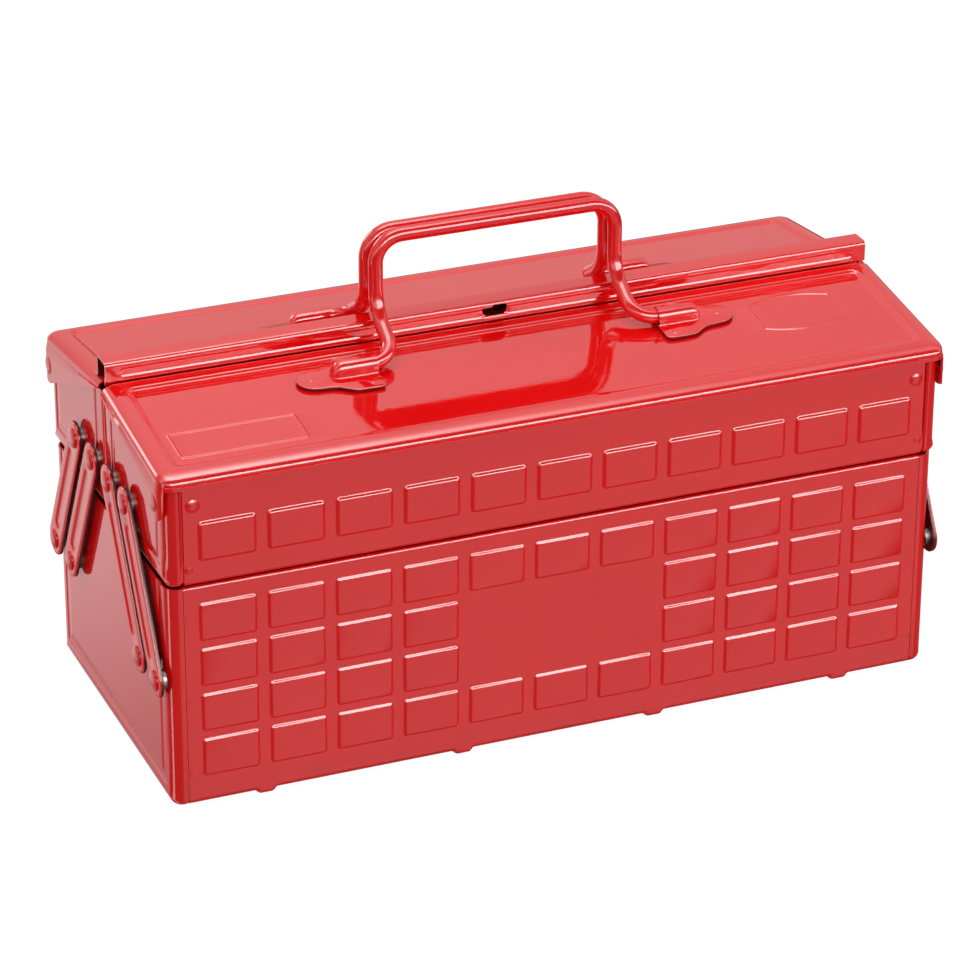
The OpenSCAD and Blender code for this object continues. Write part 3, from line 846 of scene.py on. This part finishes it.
def lid_relief(x, y, marked):
    """Field sunk behind a soft step, steeper along the ridge, with the pressed outlines."""
    soft = 4.2 - 1.9 * ease(y, field[3] - 12, field[3] - 6)
    sunk = np.clip(inside(x, y, *field, 6.0) / soft, 0, 1)
    rise = -field_deep * sunk * sunk * (3 - 2 * sunk)
    if marked:
        rise = rise + bead(inside(x, y, *label_frame, 1.0), 2.2, 0.62) + bead(barrel_depth(x, y), 2.0, 0.5)
    return rise


def flange_low(y, back_y):
    """Lower edge of a lid's end flange: round under the pivot, rising to the middle."""
    py, pz = lid_pivot
    r = 10.3
    round_low = pz - np.sqrt(np.clip(r * r - (y - py) ** 2, 0, None))
    t = np.clip((y - (py + 6.6)) / (back_y - py - 6.6), 0, 1)
    line = (pz - 7.9) * (1 - t) + (lid_z0 + back_y * slope - 4.7) * t
    low = np.where(y < py + 6.6, round_low, line)
    return low + (lip_z - low) * ease(-y, lid_y - 3.2, lid_y - 2.4)


def lid_shape(back_y, marked):
    """Outer face of a lid: rolled front, round corners, sunk field and the skirt all round."""
    rx, ry, rz = roll
    soft = (0.0, 0.35, 0.7, 1.05, 1.4, 1.75, 2.1, 2.45, 2.8, 3.15, 3.5, 3.85, 4.2, 5.0, 6.0)
    steep = (0.0, 0.2, 0.4, 0.6, 0.8, 1.0, 1.2, 1.4, 1.6, 1.8, 2.0, 2.3, 2.8, 3.4)
    fine = [near(field[2], 1, soft), near(field[3], -1, steep), np.linspace(-lid_y + ry, back_y, 14)]
    cols = [near(field[0], 1, soft), near(field[1], -1, soft), np.linspace(-lid_x + rx, lid_x - rx, 24)]
    if marked:
        over_bead = np.linspace(-1.2, 1.2, 11)
        fine += [label_frame[2] + over_bead, label_frame[3] + over_bead]
        fine += [np.arange(barrel[2] - 6.6, barrel[3] + 6.7, 0.42)]
        cols += [label_frame[0] + over_bead, label_frame[1] + over_bead]
        cols += [barrel[k] + np.linspace(-1.1, 1.1, 10) for k in (0, 1)] + [np.arange(barrel[0], barrel[1], 1.0)]
    ys, xs = lines(*fine), lines(*cols)
    turn = np.radians(np.linspace(90, 0, 13))
    # each line holds its flat place and how far it has turned into the rolled edge
    v = [(-lid_y + ry, -t) for t in turn[:-1]] + [(y, 0.0) for y in ys]
    u = [(-lid_x + rx, -t) for t in turn[:-1]] + [(x, 0.0) for x in xs] + [(lid_x - rx, t) for t in turn[::-1][1:]]
    x0, a = np.array(u)[:, 0][:, None], np.array(u)[:, 1][:, None]
    y0, b = np.array(v)[:, 0][None, :], np.array(v)[:, 1][None, :]
    x = x0 + rx * np.sin(a) * np.sqrt(1 - 0.5 * np.sin(b) ** 2) + 0 * y0
    y = y0 + ry * np.sin(b) * np.sqrt(1 - 0.5 * np.sin(a) ** 2) + 0 * x0
    rise = lid_relief(x0 + 0 * y0, y0 + 0 * x0, marked) * (np.cos(a) * np.cos(b))
    z = lid_z0 + y * slope - rz * (1 - np.cos(a) * np.cos(b)) + rise
    nu, nv = x.shape
    points = np.stack([x, y, z], axis=-1).reshape(-1, 3)
    faces = grid_faces(nu, nv)
    rim = list(range(nv - 1, -1, -1)) + [i * nv for i in range(1, nu)] + [(nu - 1) * nv + k for k in range(1, nv)]
    edge = points[rim]
    low = np.where(edge[:, 0] ** 2 > (lid_x - 0.35 * rx) ** 2, flange_low(edge[:, 1], back_y), lip_z)
    low = np.minimum(low, edge[:, 2] - 0.3)
    start = len(points)
    skirt = [edge * (1, 1, 0) + np.outer(edge[:, 2] * (1 - t) + low * t, (0, 0, 1)) for t in (0.25, 0.5, 0.75, 1.0)]
    points = np.vstack([points] + skirt)
    rings = [rim] + [list(range(start + k * len(rim), start + (k + 1) * len(rim))) for k in range(4)]
    for upper, lower in zip(rings[:-1], rings[1:]):
        faces += [[upper[k + 1], upper[k], lower[k], lower[k + 1]] for k in range(len(rim) - 1)]
    return points, faces


def outward_up(points, faces):
    """Faces turned so that the middle of the sheet looks up."""
    f = max(faces[: len(faces) // 2], key=lambda q: -np.abs(points[q[0]][:2] - (0, -50)).sum())
    a, b, c = (points[f[k]] for k in range(3))
    return faces if np.cross(b - a, c - a)[2] > 0 else flip(faces)


def add_lid(side):
    """A lid's sheet and the edge turned down along the joint of the lids."""
    back = side == "rear"
    rim_y = -2.0 if back else -ridge_y - 0.8
    points, faces = lid_shape(rim_y, not back)
    points, faces = mirrored(points, outward_up(points, faces), 1, back)
    made = thicken(make(side + "_lid_sheet", points, faces, sheet_red), 0.95)
    place(made, side + "_lid", "red_enamel", side + "_lid")
    top = lid_z0 + rim_y * slope - 0.4
    ys = (rim_y, rim_y - 0.95)
    box = [(s * (lid_x - 4), y, z) for s in (-1, 1) for y, z in ((ys[0], top), (ys[0], top - 4.1), (ys[1], top - 4.1),
                                                                (ys[1], top - 0.4))]
    sides = [[0, 1, 5, 4], [1, 2, 6, 5], [2, 3, 7, 6], [3, 0, 4, 7], [3, 2, 1, 0], [4, 5, 6, 7]]
    box, sides = mirrored(np.array(box, float), sides, 1, back)
    if volume(box - box.mean(axis=0), sides) < 0:
        sides = flip(sides)
    rim = make(side + "_lid_turned_edge", box, sides, sheet_red)
    soft = rim.modifiers.new("soft", "BEVEL")
    soft.width, soft.segments = 0.3 * MM, 2
    settle(rim)
    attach(rim, side + "_lid")


for side in ("front", "rear"):
    add_lid(side)

# ---------- handle brackets ----------


def on_lid(x, w, h):
    """A point given along the length, up the slope from the handle's axis and above the lid."""
    y = -hinge_y + w * math.cos(lid_turn) - h * math.sin(lid_turn)
    z = lid_z0 - hinge_y * slope + w * math.sin(lid_turn) + h * math.cos(lid_turn)
    return (x, y, z)


def smooth_ring(corners, steps=5):
    """Closed curve through the corners."""
    pts = np.array(corners, float)
    n = len(pts)
    ring = []
    for k in range(n):
        p0, p1, p2, p3 = (pts[(k + i - 1) % n] for i in range(4))
        for t in np.linspace(0, 1, steps, endpoint=False):
            ring.append(0.5 * ((2 * p1) + (p2 - p0) * t + (2 * p0 - 5 * p1 + 4 * p2 - p3) * t * t
                               + (3 * p1 - p0 - 3 * p2 + p3) * t ** 3))
    return np.array(ring)


plate_edge = [(81.6, -5), (81.6, -14), (82.6, -16.8), (85.5, -17.6), (92, -17.6), (98.5, -17.2), (103, -14.6),
              (107, -11.8), (112, -10.6), (117, -10.2), (122, -9.0), (125.8, -5.6), (127.2, -1.2), (125.8, 3.4),
              (122, 7.0), (117, 8.8), (112, 10.0), (107, 12.2), (103, 14.8), (98.5, 17.0), (92, 17.4), (85.5, 17.4),
              (82.6, 16.6), (81.6, 14), (81.6, 5)]


def bracket_shape():
    """Right-hand bracket: a thin plate on the lid, its saddle over the rod and two weld marks."""
    ring = smooth_ring(plate_edge, 4)
    n = len(ring)

    def shrunk(by):
        d = np.roll(ring, -1, axis=0) - np.roll(ring, 1, axis=0)
        normal = np.column_stack([-d[:, 1], d[:, 0]])
        normal /= np.linalg.norm(normal, axis=1)[:, None] + 1e-9
        return ring + normal * by

    points, faces = [], []
    for inset, h in ((0.0, -0.1), (0.0, 0.7), (0.14, 0.95), (0.45, 1.05)):
        points += [on_lid(x, w, h) for x, w in shrunk(inset)]
    faces += grid_faces(4, n, round_v=True)
    faces.append(list(range(3 * n, 4 * n)))
    pts = np.array(points)
    a, b, c = (pts[faces[-1][k]] for k in (0, n // 3, 2 * n // 3))
    if np.cross(b - a, c - a)[2] < 0:
        faces[-1] = faces[-1][::-1]
    mid = faces[n // 4]
    side = np.cross(pts[mid[1]] - pts[mid[0]], pts[mid[2]] - pts[mid[0]])
    if np.dot(side, pts[mid[0]] - np.array(on_lid(100, 0, 0))) < 0:
        faces[:-1] = flip(faces[:-1])

    # saddle: sections from the open end to the closed round end
    outer = rod_r + 0.85
    axis_h = (0.6 + rod_r) * math.cos(lid_turn)
    sections = [(82.0, 1.0), (82.3, 1.0), (92.0, 1.0), (101.5, 1.0)]
    sections += [(101.5 + 6.3 * math.sin(t), max(math.cos(t), 0.05)) for t in np.radians(np.linspace(15, 90, 9))]
    start = len(points)
    rows = []
    for x, k in sections:
        half, tall, flare = outer * (0.25 + 0.75 * k), (axis_h - 0.8) * k, 1.7 * (0.4 + 0.6 * k)
        row = [(x, -half - flare * (1 - math.sin(t)), 0.75 + min(flare, tall + half * k) * (1 - math.cos(t)))
               for t in np.radians(np.linspace(0, 70, 6))]
        row += [(x, -half * math.cos(t), 0.8 + tall + outer * k * math.sin(t))
                for t in np.radians(np.linspace(0, 180, 17))]
        row += [(x, -w, h) for x, w, h in reversed(row[:6])]
        rows.append(row)
    m = len(rows[0])
    points += [on_lid(*p) for row in rows for p in row]
    saddle = grid_faces(len(rows), m, start=start)
    pts = np.array(points)
    f = saddle[m // 2]
    if np.cross(pts[f[1]] - pts[f[0]], pts[f[2]] - pts[f[0]])[2] < 0:
        saddle = flip(saddle)
    saddle.append([start + (len(rows) - 1) * m + j for j in range(m)])
    faces += saddle

    # spot welds
    for x, w in ((88.0, -12.6), (118.6, -1.0)):
        start = len(points)
        profile = [(1.7, 1.0), (1.4, 1.2), (1.1, 1.3), (0.8, 1.2), (0.5, 1.3), (0.25, 1.45)]
        for r, h in profile:
            points += [on_lid(x + r * math.cos(t), w + r * math.sin(t), h) for t in np.radians(np.arange(0, 360, 22.5))]
        cap = grid_faces(len(profile), 16, round_v=True, start=start)
        cap.append(list(range(start + 80, start + 96)))
        pts = np.array(points)
        a, b, c = (pts[cap[0][k]] for k in range(3))
        if np.cross(b - a, c - a)[2] < 0:
            cap[:-1] = flip(cap[:-1])
        faces += cap
    return np.array(points), faces


def add_brackets():
    shape = bracket_shape()
    for back, side in ((False, "front"), (True, "rear")):
        for left, end in ((True, "left"), (False, "right")):
            points, faces = mirrored(*shape, 0, left)
            points, faces = mirrored(points, faces, 1, back)
            made = make(f"{side}_saddle_{end}", points, faces, sheet_red, 50)
            # painted shade: the plate's edge wall gets the dark finish as a shadow line round the plate
            paint_shade_on(made, range(4 * len(plate_edge)))
            place(made, side + "_lid", "red_enamel", f"{side}_bracket_{end}")


add_brackets()

# ---------- ridge ----------
hole = (-4.6, 2.2, hole_z - 0.6, 3.8)


def ridge_shape():
    """Channel over the joint of the lids: rolled front edge, round shoulders, foot on the rear lid."""
    y0, y1 = -ridge_y, -ridge_y + ridge_w
    foot_y = y1 + 5.0

    def surface(y):
        return lid_z0 - y * slope

    r = 2.5
    rows = [(y0 + 1.9, ridge_edge + 3.2), (y0 + 1.9, ridge_edge + 1.0), (y0 + 1.6, ridge_edge + 0.3),
            (y0 + 1.0, ridge_edge), (y0 + 0.35, ridge_edge + 0.25), (y0, ridge_edge + 0.9)]
    rows += [(y0, z) for z in np.linspace(ridge_edge + 1.5, ridge_z - r, 31)]
    rows += [(y0 + r - r * math.cos(t), ridge_z - r + r * math.sin(t)) for t in np.radians(np.linspace(8, 90, 9))]
    rows += [(y1 - r + r * math.sin(t), ridge_z - r + r * math.cos(t)) for t in np.radians(np.linspace(0, 90, 9))]
    rows += [(y1, surface(y1) + 2.2), (y1 + 0.2, surface(y1) + 1.6), (y1 + 0.9, surface(y1 + 0.9) + 1.05),
             (y1 + 1.8, surface(y1 + 1.8) + 0.98), (foot_y, surface(foot_y) + 0.98)]
    rows = np.array(rows)
    cx = (hole[0] + hole[1]) / 2
    xs = lines(np.linspace(-ridge_x, ridge_x, 16), cx + np.linspace(-11, 11, 34),
               *[s * 212.0 + np.linspace(-5.0, 5.0, 21) for s in (-1, 1)])
    points = []
    for x in xs:
        y, z = rows[:, 0].copy(), rows[:, 1].copy()
        qx = np.maximum(np.abs(x - cx) - (hole[1] - hole[0]) / 2, 0)
        gap = np.hypot(qx, z - hole[2]) - hole[3]
        front = (np.arange(len(rows)) > 5) & (np.arange(len(rows)) < 37)
        groove = ease(inside(x, z, -216.0, 216.0, ridge_edge + 2.6, ridge_z - 3.6, 2.4), 0.0, 1.3)
        y += np.where(front, 0.55 * groove + 0.5 * np.exp(-np.clip(gap, 0, None) ** 2 / 1.6), 0)
        points.append(np.column_stack([np.full(len(rows), x), y, z]))
    points = np.array(points)
    nu, nv = points.shape[:2]
    # the oblong hole: points just inside its outline move onto it, faces within it go
    core = np.clip(points[:, :, 0], hole[0], hole[1])
    dx, dz = points[:, :, 0] - core, points[:, :, 2] - hole[2]
    reach = np.hypot(dx, dz)
    within = (reach < hole[3]) & front[None, :]
    open_by = np.zeros_like(within)
    for i in (-1, 0, 1):
        for j in (-1, 0, 1):
            open_by |= ~np.roll(np.roll(within, i, axis=0), j, axis=1)
    edge = within & open_by
    points[:, :, 0][edge] = (core + dx * hole[3] / np.maximum(reach, 0.01))[edge]
    points[:, :, 2][edge] = (hole[2] + dz * hole[3] / np.maximum(reach, 0.01))[edge]
    points = points.reshape(-1, 3)
    within = within.ravel()
    faces = [f for f in grid_faces(nu, nv) if not all(within[k] for k in f)]
    used = sorted({k for f in faces for k in f})
    renumber = dict(zip(used, range(len(used))))
    points = points[used]
    faces = [[renumber[k] for k in f] for f in faces]
    k = max(faces, key=lambda f: points[f[0]][2] + points[f[2]][2])
    if np.cross(points[k[1]] - points[k[0]], points[k[2]] - points[k[0]])[2] < 0:
        faces = flip(faces)
    return points, faces


def add_ridge():
    made = make("ridge_channel", *ridge_shape(), sheet_red)
    # painted shade: the inner faces of the channel get the dark finish for its unlit inside
    made.data.materials.append(painted_shade_finish)
    made = thicken(made, 0.9, 1)
    place(made, "rear_lid", "red_enamel", "rear_ridge")


add_ridge()
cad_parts["rear_lock_tab"].data.materials.clear()
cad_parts["rear_lock_tab"].data.materials.append(sheet_red)

# ---------- handles ----------


def rounded_path(corners, radii, step=9):
    """Polyline with round corners, as closely spaced points."""
    pts = [np.array(c, float) for c in corners]
    path = [pts[0]]
    for k in range(1, len(pts) - 1):
        a, b = pts[k - 1] - pts[k], pts[k + 1] - pts[k]
        a, b = a / np.linalg.norm(a), b / np.linalg.norm(b)
        half = math.acos(np.clip(np.dot(a, b), -1, 1)) / 2
        trim = radii[k - 1] / math.tan(half)
        centre = pts[k] + (a + b) / np.linalg.norm(a + b) * radii[k - 1] / math.sin(half)
        p, q = pts[k] + a * trim - centre, pts[k] + b * trim - centre
        sweep = math.pi - 2 * half
        for t in np.linspace(0, 1, step):
            path.append(centre + (p * math.sin((1 - t) * sweep) + q * math.sin(t * sweep)) / math.sin(sweep))
    path.append(pts[-1])
    return np.array(path)


def tube(path, r, sides=28):
    """Round rod along a path, closed at both ends."""
    tangents = np.gradient(path, axis=0)
    tangents /= np.linalg.norm(tangents, axis=1)[:, None]
    side = np.cross(tangents[0], (0.0, 0.3, 1.0))
    side /= np.linalg.norm(side)
    turns = np.linspace(0, 2 * math.pi, sides, endpoint=False)
    points = []
    for p, t in zip(path, tangents):
        side = side - t * np.dot(side, t)
        side /= np.linalg.norm(side)
        up = np.cross(t, side)
        points += [p + r * (math.cos(a) * side + math.sin(a) * up) for a in turns]
    n = len(path)
    faces = grid_faces(n, sides, round_v=True) + [list(range(sides))[::-1], list(range((n - 1) * sides, n * sides))]
    points = np.array(points)
    if volume(points - points.mean(axis=0), faces) < 0:
        faces = flip(faces)
    return points, faces


def add_handles():
    """Two bent rods: each leg comes out of its bracket, leans in to the middle and rises to the bar."""
    radii = (13.0, 23.0, 15.0, 15.0, 23.0, 13.0)
    for back, side, float_x in ((False, "front", -0.8), (True, "rear", -2.8)):
        corners = []
        for s in (1, -1):
            g = s * 70.0 + float_x
            half = [(s * rod_end, -hinge_y, hinge_z), (g, -hinge_y, hinge_z), (g, -bar_y, 230.0), (g, -bar_y, bar_z)]
            corners += half if s > 0 else half[::-1]
        shape = tube(rounded_path(corners, radii, 13), rod_r + 0.15)
        made = make(side + "_bail", *mirrored(*shape, 1, back), rod_red, 60)
        place(made, side + "_handle", "red_rod", side + "_handle")


add_handles()

# ---------- camera, stage and light ----------


def add_camera():
    """The photograph's view: a long lens from the front left, looking down."""
    turn, rise, roll = math.radians(-22.35), math.radians(26.31), math.radians(0.25)
    away = Vector((-math.sin(turn) * math.cos(rise), math.cos(turn) * math.cos(rise), -math.sin(rise)))
    right = away.cross(Vector((0, 0, 1))).normalized()
    up = right.cross(away)
    right, up = right * math.cos(roll) + up * math.sin(roll), up * math.cos(roll) - right * math.sin(roll)
    target = Vector((-1.98, 0.0, 106.31)) * MM
    distance = 2418.75
    spot = target - away * distance * MM
    data = bpy.data.cameras.new("view")
    focal, picture = 4340.54, 980.0  # pixels
    data.sensor_width = 36.0
    data.lens = focal * data.sensor_width / picture
    data.clip_end = 50.0
    view = bpy.data.objects.new("view", data)
    view.matrix_world = Matrix(((right.x, up.x, -away.x, spot.x), (right.y, up.y, -away.y, spot.y),
                                (right.z, up.z, -away.z, spot.z), (0, 0, 0, 1)))
    bpy.context.scene.collection.objects.link(view)
    bpy.context.scene.camera = view


def add_floor():
    """Pale floor: white to the camera with the soft shadow kept. What the enamel mirrors from
    below the horizon is in the world."""
    far = 6.0
    corners = np.array([(-far, -far, 0), (far, -far, 0), (far, far, 0), (-far, far, 0)]) / MM
    floor = make("floor", corners, [[0, 1, 2, 3]], bpy.data.materials.new("pale_floor"))
    material = floor.data.materials[0]
    material.use_nodes = True
    tree = material.node_tree
    tree.nodes.clear()
    seen = Expr(tree, tree.nodes.new("ShaderNodeLightPath").outputs["Is Camera Ray"])
    glow = tree.nodes.new("ShaderNodeEmission")
    matt = tree.nodes.new("ShaderNodeBsdfDiffuse")
    mix = tree.nodes.new("ShaderNodeMixShader")
    end = tree.nodes.new("ShaderNodeOutputMaterial")
    matt.inputs["Color"].default_value = (0.78, 0.78, 0.78, 1)
    glow.inputs["Strength"].default_value = 1.12
    tree.links.new((seen * 0.86).socket, mix.inputs[0])
    tree.links.new(matt.outputs[0], mix.inputs[1])
    tree.links.new(glow.outputs[0], mix.inputs[2])
    tree.links.new(mix.outputs[0], end.inputs["Surface"])
    floor.visible_glossy = False


def step(tree, value, low, high):
    """Smooth step of a node value, from 0 at low to 1 at high."""
    node = tree.nodes.new("ShaderNodeMapRange")
    node.interpolation_type = "SMOOTHSTEP"
    node.inputs["From Min"].default_value = low
    node.inputs["From Max"].default_value = high
    tree.links.new(value.socket, node.inputs["Value"])
    return Expr(tree, node.outputs["Result"])


# Studio round the box as the enamel mirrors it: height angle from the back horizon over the
# top to the front horizon, and brightness.
surroundings = ((0, 0.75), (14, 0.85), (26, 1.05), (36, 1.35), (46, 1.5), (56, 1.6), (66, 3.0), (76, 7.0), (85, 12.0),
                (97, 12.0), (102, 4.0), (108, 0.3), (139, 0.3), (146, 16.0), (166, 16.0), (171, 2.2), (180, 1.2))


def add_world():
    world = bpy.data.worlds.new("studio")
    bpy.context.scene.world = world
    world.use_nodes = True
    tree = world.node_tree
    tree.nodes.clear()
    way = tree.nodes.new("ShaderNodeTexCoord")
    split = tree.nodes.new("ShaderNodeSeparateXYZ")
    tree.links.new(way.outputs["Generated"], split.inputs[0])
    x, y, z = (Expr(tree, split.outputs[k]) for k in range(3))
    path = tree.nodes.new("ShaderNodeLightPath")
    seen, mirror = Expr(tree, path.outputs["Is Camera Ray"]), Expr(tree, path.outputs["Is Glossy Ray"])

    ramp = tree.nodes.new("ShaderNodeValToRGB")
    stops = ramp.color_ramp.elements
    while len(stops) < len(surroundings):
        stops.new(0.5)
    for stop, (angle, level) in zip(stops, surroundings):
        stop.position = angle / 180.0
        stop.color = (level / 20.0,) * 3 + (1.0,)
    tree.links.new((z.at_least(0.0).calc("ARCTAN2", y) / math.pi).socket, ramp.inputs["Fac"])
    bands = Expr(tree, ramp.outputs["Color"]) * 20.0
    # uneven along the length: what lies low behind and overhead is brighter on the left
    low_back = step(tree, y, 0.35, 0.5)
    overhead = step(tree, y, -0.25, -0.15) - low_back
    lean = (step(tree, x, 0.22, 0.44) * -0.75 + 1.38) * low_back + (step(tree, x, 0.25, 0.42) * -0.84 + 1.0) * overhead
    lean = lean + low_back * -1.0 - overhead + 1.0
    right = step(tree, x, -0.5, -0.2)
    # bright strip behind on the left, for the rolled edges of the lids
    toward = x * -0.434 + y * 0.837 + z * 0.333
    edge_strip = step(tree, toward, 0.968, 0.988) * 7.0
    over = (bands - 0.8) * (right * 0.8 + 0.2) * lean + 0.8 + edge_strip
    # below the horizon: bright before the front wall and behind the left end, dark elsewhere
    level_reach = (x * x + y * y).calc("SQRT").at_least(0.01)
    ahead = (x * 0.38 - y * 0.925) / level_reach
    slit = (x * -0.991 - y * 0.131) / level_reach
    deeper = step(tree, z, -0.505, -0.445) * 0.68 + 0.32
    under = step(tree, ahead, 0.80, 0.97) * 0.78 + step(tree, ahead * -1.0, 0.72, 0.94) * deeper
    under = under * step(tree, z + 0.92, 0.0, 0.2) + step(tree, slit, 0.988, 0.998) * 4.0 + 0.22
    above = step(tree, z, -0.03, 0.03)
    reflected = over * above + under * (above * -1.0 + 1.0)
    diffuse = z * 0.42 - x * 0.15 + y * 0.20 + 0.51
    level = seen + mirror * reflected + (seen * -1.0 - mirror + 1.0) * diffuse
    back = tree.nodes.new("ShaderNodeBackground")
    end = tree.nodes.new("ShaderNodeOutputWorld")
    tree.links.new(level.socket, back.inputs["Strength"])
    tree.links.new(back.outputs[0], end.inputs["Surface"])


def add_softbox(name, spot, aim, wide, tall, level):
    """Area lamp whose face has the given brightness; what is mirrored of it is in the world."""
    data = bpy.data.lights.new(name, "AREA")
    data.shape, data.size, data.size_y = "RECTANGLE", wide, tall
    data.energy = level * wide * tall * math.pi
    lamp = bpy.data.objects.new(name, data)
    lamp.location = spot
    lamp.rotation_euler = (Vector(aim) - Vector(spot)).to_track_quat("-Z", "Y").to_euler()
    lamp.visible_glossy = False
    bpy.context.scene.collection.objects.link(lamp)


add_camera()
add_floor()
add_world()
add_softbox("overhead", (-0.2, 0.25, 1.7), (0, 0, 0.15), 1.1, 0.7, 3.2)
add_softbox("front_lamp", (1.0, -1.6, 0.75), (0, 0, 0.15), 0.6, 0.5, 8.5)

scene = bpy.context.scene
scene.view_settings.view_transform = "Standard"
